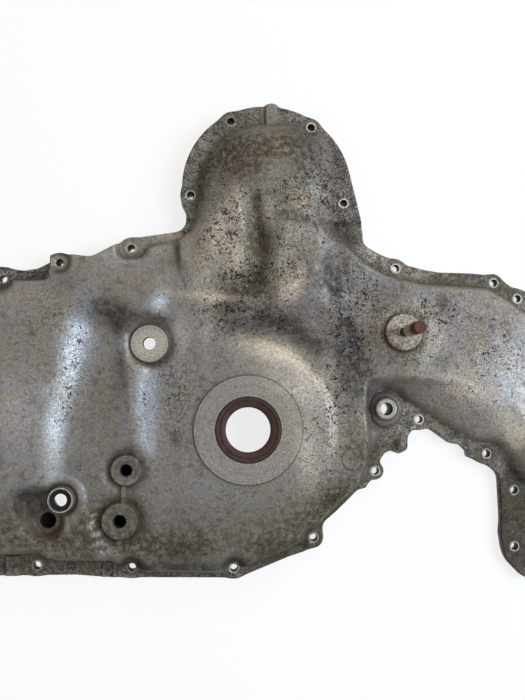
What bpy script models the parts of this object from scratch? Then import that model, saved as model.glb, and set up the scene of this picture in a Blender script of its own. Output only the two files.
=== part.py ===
# Cast aluminium timing cover with its crankshaft seal and one steel stud.
# Metres, +Z up. The cover lies on its mating face, front face up.
# Plan positions are measured from the crankshaft axis.

import math

import bmesh
import bpy
import numpy as np
from mathutils import Vector
from mathutils.geometry import delaunay_2d_cdt

# How far the cover reaches from the crankshaft axis: left, right and over the dome
LEFT_END = 0.3230
RIGHT_END = 0.3230
DOME_TOP = 0.3200
# Width of the flange at both ends and over the dome, and how far the end bolts stand in
END_FLANGE = 0.0190
DOME_RIM = 0.0175
END_BOLTS = 0.0110

# Heights above the mating face
WING_FLANGE = 0.0090
STEP_FLANGE = 0.0200
DOME_FLANGE = 0.0190
SEAL_FACE = 0.0400

# Casting
WALL = 0.0045
SIDE_RISE = 3.2
CAVITY_RISE = 3.6
CAVITY_EASE = 0.0060
EDGE_ROUND = 0.0055
FOOT_FILLET = 0.0025
EAR_BLEND = 0.0060
BOLT_BORE = 0.0070
BOLT_CLEARING = 0.0078
BOLT_POST = 0.0085

# Crankshaft seal and its housing
SEAL_SEAT = 0.0620
SEAL_DEPTH = 0.0090
SEAL_BORE = 0.0420
SEAL_SINK = 0.0004
SHOULDER_BORE = 0.0550
SEAL_FACE_RING = 0.1016
SEAL_HOUSING = 0.0740
HOUSING_BOTTOM = 0.0240
CASE_SHEET = 0.0008
SPRING_WIRE = 0.0015
CLEARANCE = 0.0003

# Stud on the right wing
STUD_LENGTH = 0.0645
STUD_HEAD = 0.0117
STUD_NECK = 0.0080
STUD_NECK_HEIGHT = 0.0145
STUD_SUNK = 0.0155

# Mesh fineness
GRID = 0.0015
OUTLINE_ERROR = 0.00022
CREASE_ERROR = 0.0004
MESH_ERROR = 0.00008
FRONT_POINTS = 2050
BACK_POINTS = 1250
BOLT_SIDES = 12
BORE_SIDES = 16
SEAL_SIDES = 32
# How far the hole cutters stand past the faces
CUT_PAST = 0.0120

# Outer edge of the bolting flange: corner x, corner y, corner radius
OUTLINE = (
    (-LEFT_END, -0.136, 0.034),
    (-0.162, -0.1372, 0.020),
    (-0.130, -0.1402, 0.020),
    (-0.0075, -0.143, 0.010),
    (0.041, -0.124, 0.008),
    (0.0555, -0.1195, 0.004),
    (0.072, -0.112, 0.006),
    (0.075, -0.092, 0.010),
    (0.0886, -0.0806, 0.014),
    (0.1097, -0.0606, 0.003),
    (0.1182, -0.0586, 0.0025),
    (0.121, -0.052, 0.002),
    (0.126, -0.040, 0.002),
    (0.1315, -0.0325, 0.003),
    (0.1375, -0.0245, 0.004),
    (0.1435, -0.0225, 0.003),
    (0.151, -0.026, 0.004),
    (0.1603, -0.0215, 0.004),
    (0.1605, -0.009, 0.006),
    (0.1655, -0.0018, 0.006),
    (0.182, -0.0002, 0.014),
    (0.2038, -0.0156, 0.008),
    (0.2145, -0.0173, 0.005),
    (0.221, -0.024, 0.002),
    (0.2212, -0.0294, 0.002),
    (0.240, -0.0358, 0.016),
    (0.252, -0.046, 0.014),
    (0.2523, -0.092, 0.020),
    (0.2506, -0.106, 0.020),
    (0.2565, -0.131, 0.020),
    (RIGHT_END - 0.045, -0.1505, 0.016),
    (RIGHT_END - 0.019, -0.148, 0.022),
    (RIGHT_END, -0.124, 0.024),
    (RIGHT_END, 0.108, 0.034),
    (RIGHT_END - 0.031, 0.1355, 0.012),
    (0.272, 0.142, 0.010),
    (0.255, 0.154, 0.005),
    (0.229, 0.1563, 0.020),
    (0.195, 0.1568, 0.020),
    (0.180, 0.1592, 0.020),
    (0.158, 0.1645, 0.012),
    (0.133, 0.1753, 0.014),
    (0.1175, 0.184, 0.010),
    (0.1145, 0.202, 0.008),
    (0.0842, DOME_TOP, 0.084),
    (-0.0644, DOME_TOP, 0.084),
    (-0.0644, 0.222, 0.008),
    (-0.0600, 0.210, 0.008),
    (-0.0603, 0.1925, 0.012),
    (-0.081, 0.1891, 0.010),
    (-0.1165, 0.1832, 0.008),
    (-0.148, 0.1650, 0.014),
    (-0.1775, 0.1688, 0.010),
    (-0.186, 0.1672, 0.006),
    (-0.203, 0.1553, 0.014),
    (-0.216, 0.1530, 0.014),
    (-0.236, 0.1550, 0.010),
    (-0.256, 0.158, 0.012),
    (-LEFT_END, 0.130, 0.034),
)

# Foot of the raised body on the flange: corner x, corner y, corner radius
BODY = (
    (END_FLANGE - LEFT_END, -0.1195, 0.022),
    (-0.212, -0.1176, 0.010),
    (-0.196, -0.1168, 0.008),
    (-0.188, -0.121, 0.006),
    (-0.176, -0.1243, 0.008),
    (-0.121, -0.1253, 0.005),
    (-0.095, -0.136, 0.004),
    (-0.018, -0.138, 0.006),
    (0.038, -0.118, 0.010),
    (0.054, -0.109, 0.008),
    (0.0752, -0.0884, 0.010),
    (0.1105, -0.0556, 0.006),
    (0.1185, -0.0375, 0.008),
    (0.1297, -0.0128, 0.010),
    (0.1345, -0.004, 0.005),
    (0.1255, 0.006, 0.006),
    (0.1215, 0.018, 0.008),
    (0.1245, 0.030, 0.008),
    (0.1350, 0.0370, 0.010),
    (0.1500, 0.0340, 0.010),
    (0.1625, 0.0240, 0.008),
    (0.1824, 0.0130, 0.010),
    (0.1986, 0.0020, 0.010),
    (0.213, -0.0060, 0.008),
    (0.223, -0.0135, 0.005),
    (0.233, -0.0140, 0.005),
    (0.249, -0.0105, 0.008),
    (0.2588, -0.020, 0.007),
    (0.259, -0.032, 0.006),
    (0.2678, -0.042, 0.008),
    (0.280, -0.050, 0.010),
    (RIGHT_END - END_FLANGE, -0.056, 0.014),
    (RIGHT_END - END_FLANGE, 0.102, 0.024),
    (0.2792, 0.1181, 0.010),
    (0.2611, 0.1305, 0.008),
    (0.241, 0.1423, 0.010),
    (0.1733, 0.1456, 0.020),
    (0.1374, 0.1543, 0.014),
    (0.116, 0.1663, 0.010),
    (0.103, 0.180, 0.012),
    (0.0872, 0.200, 0.010),
    (0.0862, DOME_TOP - DOME_RIM, 0.036),
    (-0.0500, DOME_TOP - DOME_RIM, 0.071),
    (-0.0500, 0.226, 0.010),
    (-0.0515, 0.206, 0.010),
    (-0.0560, 0.192, 0.006),
    (-0.0664, 0.1838, 0.006),
    (-0.096, 0.177, 0.008),
    (-0.103, 0.165, 0.006),
    (-0.122, 0.164, 0.006),
    (-0.126, 0.200, 0.003),
    (-0.190, 0.200, 0.003),
    (-0.190, 0.146, 0.004),
    (-0.212, 0.1442, 0.008),
    (-0.240, 0.1438, 0.008),
    (END_FLANGE - LEFT_END, 0.112, 0.022),
)

# Flange bolts: x, y, height of their pad, ear radius
BOLTS = (
    (-0.2356, 0.1444, WING_FLANGE, 0.0105),
    (-0.1976, -0.1277, WING_FLANGE, 0.0085),
    (-0.1092, -0.1309, WING_FLANGE, 0.0085),
    (-0.0122, -0.1335, WING_FLANGE, 0.0086),
    (0.0653, -0.1060, WING_FLANGE, 0.0086),
    (0.1271, -0.0424, WING_FLANGE, 0.0086),
    (0.1720, 0.0082, WING_FLANGE, 0.0088),
    (0.2406, -0.0261, WING_FLANGE, 0.0094),
    (0.2682, -0.0625, WING_FLANGE, 0.0090),
    (0.2671, -0.1178, WING_FLANGE, 0.0090),
    (0.1504, 0.1602, WING_FLANGE, 0.0092),
    (0.2521, 0.1466, WING_FLANGE, 0.0080),
    (0.2766, 0.1308, WING_FLANGE, 0.0088),
    (-0.1798, 0.1588, STEP_FLANGE, 0.0100),
    (-0.1126, 0.1739, STEP_FLANGE, 0.0092),
    (-0.0559, 0.2280, DOME_FLANGE, 0.0088),
    (-0.0169, DOME_TOP - 0.0166, DOME_FLANGE, 0.0090),
    (0.0635, DOME_TOP - 0.0205, DOME_FLANGE, 0.0085),
    (0.0958, 0.2230, DOME_FLANGE, 0.0092),
    (END_BOLTS - LEFT_END, 0.0900, WING_FLANGE, 0.0085),
    (END_BOLTS - LEFT_END, 0.0100, WING_FLANGE, 0.0085),
    (END_BOLTS - LEFT_END, -0.0700, WING_FLANGE, 0.0085),
    (0.0270 - LEFT_END, -0.1255, WING_FLANGE, 0.0085),
    (RIGHT_END - END_BOLTS, 0.0600, WING_FLANGE, 0.0085),
    (RIGHT_END - END_BOLTS, -0.0120, WING_FLANGE, 0.0085),
    (RIGHT_END - 0.0180, -0.1320, WING_FLANGE, 0.0085),
)

# How softly forms run into one another
FORM_BLEND = 0.0040
PIT_BLEND = 0.0020
BOSS_BLEND = 0.0012
RIB_BLEND = 0.0015
# Rise per metre outwards of the small steep sides
CLEARING_RISE = 2.2
TUBE_RISE = 3.5
PAD_RISE = 3.0
POCKET_RISE = 1.8
SOCKET_RISE = 1.6
# Rise of the body's side walls is less on the dome and round the notch
DOME_GENTLE = 1.8
NOTCH_GENTLE = 1.7
DOME_ROUND = 0.016
DOME_STARTS = (0.160, 0.215)
# The x and y where the notch's gentle sides start, end
NOTCH_LEFT = (0.098, 0.122)
NOTCH_RIGHT = (0.225, 0.245)
NOTCH_TOP = (0.040, 0.070)

# Steps of the flange: the y where the dome's part starts on the right and on the left,
# and how far the upper left part reaches
DOME_STEP_RIGHT = (0.178, 0.200)
DOME_STEP_SHARP = (0.2005, 0.2065)
DOME_STEP_LEFT = (0.196, 0.202)
DOME_STEP_SHARE = 0.6
UPPER_STEP_LEFT = (-0.192, -0.188)
UPPER_STEP_LOW = (0.138, 0.150)
UPPER_STEP_RIGHT = (-0.020, 0.000)

# Panel above the left wing: its ridge line, its height there and its fall beyond the ridge
PANEL_RIDGE_X = (-0.200, -0.145, -0.124, -0.083, -0.045, -0.014, 0.005, 0.030)
PANEL_RIDGE_Y = (0.166, 0.157, 0.148, 0.136, 0.132, 0.136, 0.160, 0.200)
PANEL_HEIGHT = 0.0350
PANEL_FALL = 0.28
# Lobe that the panel's fall leaves out: two ends of its spine, and where the fall starts and is full
PANEL_LOBE = (-0.030, 0.205, -0.024, 0.160)
PANEL_LOBE_REACH = (0.026, 0.044)
PANEL_END = (-0.040, 0.010)
PANEL_TOP = (0.190, 0.210)

# Level of the raised body, and its fall towards the right wing, the bottom and the right end
BODY_LEVEL = 0.0325
RIGHT_FALL = 0.0015
LOW_FALL = 0.0020
END_FALL = 0.0030
# Plateau of the left wing: rise, the x where its edge starts to fall and its foot, the y where it fades
PLATEAU_RISE = 0.0042
PLATEAU_EDGE = (-0.1080, -0.0845)
PLATEAU_FADE = (-0.0550, -0.0050)

# Scoop in the left wing: depth, stations up the wing, both sides of its floor there, width of its slopes
SCOOP_DEPTH = 0.0078
SCOOP_STATIONS = (-0.037, 0.000, 0.046, 0.093)
SCOOP_LEFT = (-0.1665, -0.1654, -0.1571, -0.1469)
SCOOP_RIGHT = (-0.1154, -0.1177, -0.1230, -0.1283)
SCOOP_SLOPES = (0.0240, 0.0135)
# The y where its round top starts and ends, and where its floor starts to rise and runs out
SCOOP_TOP = (0.0940, 0.1220)
SCOOP_END = (-0.0300, -0.0950)

# Cone round the seal's face: drop at the face's edge, slope, and the shoulder where it falls away
CONE_DROP = 0.0014
CONE_SLOPE = 0.11
SHOULDER_DROP = 0.0065
SHOULDER_RADII = (0.076, 0.091)
SHOULDER_TURNS = (-75, -30, 95, 125)

# Soft forms of the front: two ends of the spine, flat radius, foot radius, rise
SWELLS = (
    (-0.300, 0.110, -0.260, -0.020, 0.075, 0.130, 0.0030),
    (-0.215, 0.022, -0.252, 0.006, 0.002, 0.016, 0.0010),
    (-0.024, 0.206, -0.020, 0.160, 0.012, 0.038, 0.0065),
    (0.050, 0.188, 0.042, 0.142, 0.015, 0.044, 0.0090),
    (0.062, 0.150, 0.076, 0.070, 0.006, 0.034, 0.0030),
    (0.022, DOME_TOP - 0.070, 0.022, DOME_TOP - 0.090, 0.010, 0.075, 0.0100),
    (0.014, 0.208, 0.082, 0.190, 0.001, 0.013, -0.0014),
    (0.012, 0.103, 0.062, 0.100, 0.003, 0.026, -0.0034),
    (0.150, 0.092, 0.152, 0.092, 0.018, 0.040, 0.0020),
    (0.200, 0.060, 0.260, 0.070, 0.020, 0.080, 0.0015),
)

# Groove between the two lobes under the dome, from its top to its end on the seal housing
GROOVE = (
    (0.0050, 0.2160),
    (0.0120, 0.1950),
    (0.0172, 0.1760),
    (0.0160, 0.1590),
    (0.0050, 0.1450),
    (-0.0110, 0.1360),
    (-0.0240, 0.1210),
    (-0.0330, 0.0940),
)
GROOVE_DEPTH = 0.0048
# Share of that depth at its low end, and the y where it deepens
GROOVE_LOW_SHARE = 0.25
GROOVE_DEEPENS = (0.115, 0.165)
GROOVE_REACH = 0.0150

# Raised pads: low corner, high corner, top
PADS = (
    (0.0184, DOME_TOP - 0.0215, 0.0291, DOME_TOP + 0.0100, DOME_FLANGE + 0.0025),
    (-0.2256, -0.1400, -0.2136, -0.1186, WING_FLANGE + 0.0022),
    (-0.1366, -0.1420, -0.1346, -0.1225, WING_FLANGE + 0.0014),
    (-0.1262, -0.1420, -0.1242, -0.1225, WING_FLANGE + 0.0014),
)
# A pad that stands on the left wing's skin: low corner, high corner, rise
WING_PAD = (-0.2620, -0.0360, -0.2362, -0.0020, 0.0013)
# Ejector mark on the right of the seal housing: x, y, radius, rise
EJECTOR = (0.1001, -0.0285, 0.0103, 0.0006)

# Outer lugs without a bolt: x, y, radius
LUGS = ((0.0238, DOME_TOP - 0.0060, 0.0083),)
# Cast lumps on the flange: x, y, radius, top
LUMPS = (
    (0.1525, -0.0165, 0.0062, 0.0150),
    (0.2140, -0.0065, 0.0050, 0.0125),
    (0.2215, -0.0135, 0.0045, 0.0120),
    (0.1235, -0.0545, 0.0040, 0.0120),
    (0.0605, -0.1120, 0.0045, 0.0120),
)

# Round bosses: x, y, face height, face radius, moat radius, moat depth
BOSSES = {
    "left": (-0.0928, 0.0808, 0.0345, 0.0174, 0.0250, 0.0050),
    "upper": (-0.1132, -0.0373, 0.0315, 0.0138, 0.0205, 0.0040),
    "lower": (-0.1187, -0.0843, 0.0300, 0.0163, 0.0260, 0.0055),
    "stud": (0.1506, 0.0930, 0.0360, 0.0178, 0.0220, 0.0010),
    "dowel": (0.1359, 0.0189, 0.0220, 0.0100, 0.0120, 0.0),
}
# Steepness of their sides
BOSS_RISE = 2.5
# Soft cone round the dowel boss: drop below its face, slope, reach
DOWEL_CONE = (0.0012, 0.75, 0.0300)
# Upright ribs between the left wing's bosses: x, low end, high end, crown, half width
BOSS_RIBS = (
    (-0.1160, -0.0720, -0.0490, 0.0290, 0.0016),
    (-0.1215, -0.1180, -0.0980, 0.0275, 0.0022),
)
# Their holes: radius, height of the floor, and None where the hole goes through
BOSS_HOLES = {
    "left": (0.0060, None),
    "upper": (0.0056, 0.0105),
    "lower": (0.0060, 0.0105),
    "dowel": (0.0060, None),
}

# Tube end with a stepped hole: x, y, height, outer radius
TUBE = (-0.1728, -0.0642, 0.0310, 0.0113)
TUBE_BORE = 0.0062
TUBE_MOUTH = 0.0092
TUBE_MOUTH_DEPTH = 0.0050
# Socket round the tube: floor, radius of the floor, and its raised lip: radius, half width, rise
SOCKET_FLOOR = 0.0245
SOCKET_RADIUS = 0.0150
SOCKET_LIP = (0.0205, 0.0045, 0.0013)
# Sunk boss beside it: x, y, height, radius
PIT = (-0.1862, -0.0842, 0.0190, 0.0118)
PIT_BORE = 0.0072
PIT_FLOOR = 0.0075
# Pocket that opens on the sunk boss: two ends of its floor, floor, radius of the floor
POCKET = (-0.1995, -0.0710, -0.1880, -0.0800, 0.0205, 0.0085)
# Low pocket at the right end: x, y, height, radius
RECESS = (RIGHT_END - 0.0371, -0.0893, 0.0050, 0.0180)

# Posts behind the bosses: x, y, height of their foot, radius
POSTS = (
    (-0.0928, 0.0808, 0.0000, 0.0120),
    (-0.1132, -0.0373, 0.0060, 0.0110),
    (-0.1187, -0.0843, 0.0060, 0.0115),
    (0.1506, 0.0930, 0.0120, 0.0110),
    (-0.1728, -0.0642, 0.0000, 0.0130),
    (-0.1853, -0.0838, 0.0030, 0.0120),
)

# Ribs on the inner side: two ends and the height of their edge
RIBS = (
    (0.036, 0.0, 0.104, 0.012, 0.0160),
    (-0.020, 0.031, -0.062, 0.110, 0.0160),
    (-0.036, -0.008, -0.108, -0.040, 0.0160),
    (0.014, -0.034, 0.040, -0.108, 0.0160),
    (-0.175, -0.060, -0.268, 0.095, 0.0160),
    (0.152, 0.093, 0.262, 0.000, 0.0160),
)
RIB_THICKNESS = 0.0040


def rounded(corners, arc_step=0.006):
    """A closed loop with each corner turned into an arc of its radius."""
    points = np.array([corner[:2] for corner in corners])
    count = len(points)
    reach = []
    for i in range(count):
        back = points[i - 1] - points[i]
        ahead = points[(i + 1) % count] - points[i]
        cosine = float(back @ ahead) / (np.hypot(*back) * np.hypot(*ahead))
        turn = math.pi - math.acos(max(-1.0, min(1.0, cosine)))
        reach.append((turn, corners[i][2] * math.tan(turn / 2)))
    loop = []
    for i in range(count):
        turn, wanted = reach[i]
        back = points[i - 1] - points[i]
        ahead = points[(i + 1) % count] - points[i]
        share_back = np.hypot(*back) / (wanted + reach[i - 1][1] + 1e-9)
        share_ahead = np.hypot(*ahead) / (wanted + reach[(i + 1) % count][1] + 1e-9)
        tangent = wanted * min(1.0, 0.99 * share_back, 0.99 * share_ahead)
        back = back / np.hypot(*back)
        ahead = ahead / np.hypot(*ahead)
        if turn < 0.02:
            loop.append(points[i])
            continue
        radius = tangent / math.tan(turn / 2)
        inward = (back + ahead) / np.hypot(*(back + ahead))
        centre = points[i] + inward * (radius / math.cos(turn / 2))
        arm = points[i] + back * tangent - centre
        side = 1 if back[0] * ahead[1] - back[1] * ahead[0] < 0 else -1
        steps = max(1, math.ceil(radius * turn / arc_step), math.ceil(turn / 0.5))
        for k in range(steps + 1):
            c = math.cos(side * turn * k / steps)
            s = math.sin(side * turn * k / steps)
            loop.append(centre + np.array((arm[0] * c - arm[1] * s, arm[0] * s + arm[1] * c)))
    return np.array(loop)


def depth_in(loop, x, y):
    """Distance to a closed loop, positive inside it."""
    nearest = np.full(x.shape, 1e9)
    inside = np.zeros(x.shape, bool)
    for (x1, y1), (x2, y2) in zip(loop, np.roll(loop, -1, axis=0)):
        dx, dy = x2 - x1, y2 - y1
        px, py = x - x1, y - y1
        along = np.clip((px * dx + py * dy) / (dx * dx + dy * dy + 1e-18), 0, 1)
        nearest = np.minimum(nearest, (px - along * dx) ** 2 + (py - along * dy) ** 2)
        if dy != 0:
            way = 1 if dy > 0 else -1
            inside ^= ((y1 > y) != (y2 > y)) & (px * dy * way < py * dx * way)
    distance = np.sqrt(nearest)
    return np.where(inside, distance, -distance)


def soft_min(a, b, blend):
    share = np.clip(0.5 + 0.5 * (b - a) / blend, 0, 1)
    return b * (1 - share) + a * share - blend * share * (1 - share)


def soft_max(a, b, blend):
    return -soft_min(-a, -b, blend)


def ease(low, high, value):
    t = np.clip((value - low) / (high - low), 0, 1)
    return t * t * (3 - 2 * t)


def from_bar(x, y, x1, y1, x2, y2):
    """Distance to a straight bar."""
    dx, dy = x2 - x1, y2 - y1
    along = np.clip(((x - x1) * dx + (y - y1) * dy) / (dx * dx + dy * dy + 1e-12), 0, 1)
    return np.hypot(x - x1 - along * dx, y - y1 - along * dy)


def from_path(x, y, path):
    """Distance to an open line of straight runs."""
    near = np.full(x.shape, 1.0)
    for (x1, y1), (x2, y2) in zip(path, path[1:]):
        near = np.minimum(near, from_bar(x, y, x1, y1, x2, y2))
    return near


def eased_path(path, rounds=3):
    """The same line with its corners cut to a curve."""
    points = np.array(path)
    for _ in range(rounds):
        a = points[:-1] * 0.75 + points[1:] * 0.25
        b = points[:-1] * 0.25 + points[1:] * 0.75
        middle = np.stack((a, b), axis=1).reshape(-1, 2)
        points = np.vstack((points[:1], middle, points[-1:]))
    return points


def beyond_box(x, y, low_x, low_y, high_x, high_y):
    """How far a point lies outside an upright box, 0 inside it."""
    out_x = np.maximum(low_x - x, x - high_x)
    out_y = np.maximum(low_y - y, y - high_y)
    return np.maximum(np.maximum(out_x, out_y), 0)


OUTLINE_LOOP = rounded(OUTLINE)
BODY_LOOP = rounded(BODY)
GROOVE_LINE = eased_path(GROOVE)


def edge_depth(x, y):
    """Distance inside the flange's outer edge, its bolt ears blended in."""
    depth = depth_in(OUTLINE_LOOP, x, y)
    for bolt_x, bolt_y, pad, ear in BOLTS:
        depth = soft_max(depth, ear - np.hypot(x - bolt_x, y - bolt_y), EAR_BLEND)
    for lug_x, lug_y, radius in LUGS:
        depth = soft_max(depth, radius - np.hypot(x - lug_x, y - lug_y), EAR_BLEND / 2)
    return depth


def flange_height(x, y):
    """The flange is higher round the dome and along the top of the left wing."""
    left = ease(*DOME_STEP_LEFT, y)
    right = DOME_STEP_SHARE * ease(*DOME_STEP_RIGHT, y)
    right = right + (1 - DOME_STEP_SHARE) * ease(*DOME_STEP_SHARP, y)
    dome = np.where(x > 0, right, left)
    step = ease(*UPPER_STEP_LEFT, x) * ease(*UPPER_STEP_LOW, y)
    step = step * (1 - ease(*UPPER_STEP_RIGHT, x)) * (1 - left)
    return WING_FLANGE + (DOME_FLANGE - WING_FLANGE) * dome + (STEP_FLANGE - WING_FLANGE) * step


def body_height(x, y):
    """Top of the raised body before its side walls, bosses and pockets."""
    radius = np.hypot(x, y)
    angle = np.degrees(np.arctan2(y, x))
    height = BODY_LEVEL - RIGHT_FALL * ease(0.06, 0.14, x) - LOW_FALL * ease(-0.02, -0.09, y)
    plateau = (1 - ease(*PLATEAU_EDGE, x)) * ease(*PLATEAU_FADE, y)
    height = height + PLATEAU_RISE * plateau - END_FALL * ease(0.235, 0.320, x)
    height = height - SCOOP_DEPTH * scoop(x, y)
    for x1, y1, x2, y2, flat, foot, rise in SWELLS:
        height = height + rise * (1 - ease(flat, foot, from_bar(x, y, x1, y1, x2, y2)))
    cone = SEAL_FACE - CONE_DROP - CONE_SLOPE * (radius - SEAL_FACE_RING / 2)
    shoulder = ease(*SHOULDER_TURNS[:2], angle) * (1 - ease(*SHOULDER_TURNS[2:], angle))
    shoulder = shoulder * ease(*SHOULDER_RADII, radius)
    height = soft_max(height, cone - SHOULDER_DROP * shoulder, FORM_BLEND)
    near = from_path(x, y, GROOVE_LINE)
    groove = GROOVE_DEPTH * (GROOVE_LOW_SHARE + (1 - GROOVE_LOW_SHARE) * ease(*GROOVE_DEEPENS, y))
    height = height - groove * (1 - ease(0, GROOVE_REACH, near))
    panel = PANEL_HEIGHT - PANEL_FALL * (y - np.interp(x, PANEL_RIDGE_X, PANEL_RIDGE_Y))
    lobe = 1 - ease(*PANEL_LOBE_REACH, from_bar(x, y, *PANEL_LOBE))
    clear = np.maximum(np.maximum(lobe, ease(*PANEL_END, x)), ease(*PANEL_TOP, y))
    return soft_min(height, panel + 0.05 * clear, FORM_BLEND)


def scoop(x, y):
    """1 on the scoop's floor, 0 outside it."""
    left = np.interp(y, SCOOP_STATIONS, SCOOP_LEFT)
    right = np.interp(y, SCOOP_STATIONS, SCOOP_RIGHT)
    across = (1 - ease(0, SCOOP_SLOPES[0], left - x)) * (1 - ease(0, SCOOP_SLOPES[1], x - right))
    return across * (1 - ease(*SCOOP_TOP, y)) * (1 - ease(-SCOOP_END[0], -SCOOP_END[1], -y))


def front_height(x, y):
    """Height of the front skin over the mating face."""
    flange = flange_height(x, y)
    dome = ease(*DOME_STARTS, y)
    gentle = ease(*NOTCH_LEFT, x) * (1 - ease(*NOTCH_TOP, y)) * (1 - ease(*NOTCH_RIGHT, x))
    rise = SIDE_RISE - DOME_GENTLE * dome - NOTCH_GENTLE * gentle
    wall = flange + rise * depth_in(BODY_LOOP, x, y)
    height = soft_min(body_height(x, y), wall, EDGE_ROUND + DOME_ROUND * dome)
    for boss_x, boss_y, face, radius, moat, deep in BOSSES.values():
        away = np.hypot(x - boss_x, y - boss_y)
        height = height - deep * (1 - ease(radius, moat + 0.004, away))
    height = pockets(x, y, height)
    for boss_x, boss_y, face, radius, moat, deep in BOSSES.values():
        away = np.hypot(x - boss_x, y - boss_y)
        side = face - BOSS_RISE * np.maximum(away - radius, 0)
        height = np.where(away < radius, face, soft_max(height, side, BOSS_BLEND))
    for rib_x, low, high, crown, half in BOSS_RIBS:
        near = from_bar(x, y, rib_x, low, rib_x, high)
        side = crown - CLEARING_RISE * np.maximum(near - half, 0)
        height = soft_max(height, side, RIB_BLEND)
    near = np.hypot(x - TUBE[0], y - TUBE[1])
    height = np.maximum(height, TUBE[2] - TUBE_RISE * np.maximum(near - TUBE[3], 0))
    height = np.where(np.hypot(x, y) < SEAL_FACE_RING / 2, SEAL_FACE, height)
    for bolt_x, bolt_y, pad, ear in BOLTS:
        away = np.hypot(x - bolt_x, y - bolt_y)
        side = pad + CLEARING_RISE * np.maximum(away - BOLT_CLEARING, 0)
        height = soft_min(height, side, RIB_BLEND)
    height = soft_max(height, flange, FOOT_FILLET)
    return details(x, y, height)


def pockets(x, y, height):
    """Sinks the tube's socket, the sunk boss and its pocket into a height."""
    near = np.hypot(x - TUBE[0], y - TUBE[1])
    angle = np.degrees(np.arctan2(y - TUBE[1], x - TUBE[0]))
    lip = (1 - ease(0, SOCKET_LIP[1], np.abs(near - SOCKET_LIP[0]))) * ease(-75, -30, angle)
    height = height + SOCKET_LIP[2] * lip * (1 - ease(80, 120, angle))
    side = SOCKET_FLOOR + SOCKET_RISE * np.maximum(near - SOCKET_RADIUS, 0)
    height = soft_min(height, side, PIT_BLEND)
    near = from_bar(x, y, *POCKET[:4])
    side = POCKET[4] + POCKET_RISE * np.maximum(near - POCKET[5], 0)
    height = soft_min(height, side, PIT_BLEND)
    near = np.hypot(x - PIT[0], y - PIT[1])
    side = PIT[2] + POCKET_RISE * np.maximum(near - PIT[3], 0)
    return soft_min(height, side, PIT_BLEND)


def details(x, y, height):
    """Adds the dowel boss's cone, the lumps, the pads, the ejector mark and the end pocket."""
    boss_x, boss_y, face, radius = BOSSES["dowel"][:4]
    drop, slope, reach = DOWEL_CONE
    away = np.hypot(x - boss_x, y - boss_y)
    cone = face - drop - slope * (away - radius) - face * ease(0.8 * reach, reach, away)
    height = np.where(away < radius, height, soft_max(height, cone, FORM_BLEND))
    for lump_x, lump_y, radius, top in LUMPS:
        away = np.hypot(x - lump_x, y - lump_y)
        height = soft_max(height, top - (top - WING_FLANGE) * (away / radius) ** 2, BOSS_BLEND)
    for low_x, low_y, high_x, high_y, crown in PADS:
        out = beyond_box(x, y, low_x, low_y, high_x, high_y)
        height = np.maximum(height, crown - PAD_RISE * out)
    out = beyond_box(x, y, *WING_PAD[:4])
    height = height + np.maximum(WING_PAD[4] - PAD_RISE * out, 0)
    near = np.hypot(x - EJECTOR[0], y - EJECTOR[1])
    height = height + np.clip(EJECTOR[3] - (near - EJECTOR[2]), 0, EJECTOR[3])
    near = np.hypot(x - RECESS[0], y - RECESS[1])
    return soft_min(height, RECESS[2] + PAD_RISE * np.maximum(near - RECESS[3], 0), BOSS_BLEND)


def eased_down(field, reach):
    """A smoother field that nowhere rises over the first one."""
    steps = range(-reach, reach + 1)
    for axis in (0, 1):
        field = np.minimum.reduce([np.roll(field, k, axis=axis) for k in steps])
    for axis in (0, 1):
        field = np.mean([np.roll(field, k, axis=axis) for k in steps], axis=0)
    return field


def rim_depth(x, y):
    """Distance inside the cavity's own edge."""
    rim = depth_in(BODY_LOOP, x, y) - 1.05 * WALL
    rim = np.minimum(rim, edge_depth(x, y) - 0.010)
    for bolt_x, bolt_y, pad, ear in BOLTS:
        rim = np.minimum(rim, np.hypot(x - bolt_x, y - bolt_y) - BOLT_POST)
    return rim


def back_height(x, y, front):
    """Height of the inner skin: a cavity one wall below the front, with posts and ribs."""
    ceiling = eased_down(front, round(CAVITY_EASE / GRID)) - WALL
    wall = CAVITY_RISE * rim_depth(x, y)
    height = np.minimum(ceiling, wall)
    for post_x, post_y, foot, radius in POSTS:
        away = np.hypot(x - post_x, y - post_y)
        height = np.minimum(height, foot + 6.0 * np.maximum(away - radius, 0))
    for x1, y1, x2, y2, edge in RIBS:
        near = from_bar(x, y, x1, y1, x2, y2)
        height = np.minimum(height, edge + 5.0 * np.maximum(near - RIB_THICKNESS / 2, 0))
    away = np.hypot(x, y) - SEAL_HOUSING / 2
    height = np.minimum(height, HOUSING_BOTTOM + 5.0 * np.maximum(away, 0))
    return np.maximum(height, 0.0)


def zero_line(xs, ys, depth):
    """The closed line where depth is zero, walked from cell to cell."""
    inside = depth > 0
    links = {}

    def crossing(a, b):
        share = depth[a] / (depth[a] - depth[b])
        point = np.array((xs[a[1]], ys[a[0]])) * (1 - share)
        return point + np.array((xs[b[1]], ys[b[0]])) * share

    mixed = inside[:-1, :-1].astype(int) + inside[1:, :-1] + inside[:-1, 1:] + inside[1:, 1:]
    for i, j in zip(*np.nonzero((mixed > 0) & (mixed < 4))):
        ring = [(i, j), (i, j + 1), (i + 1, j + 1), (i + 1, j)]
        leaving = None
        entering = None
        for a, b in zip(ring, ring[1:] + ring[:1]):
            if inside[a] and not inside[b]:
                leaving = (a, b)
            if inside[b] and not inside[a]:
                entering = (b, a)
        links[leaving] = entering
    start = min(links, key=lambda key: key[0][1] * 10000 + key[0][0])
    loop = []
    key = start
    while key in links:
        loop.append(crossing(*key))
        key = links.pop(key)
    return np.array(loop)


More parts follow.
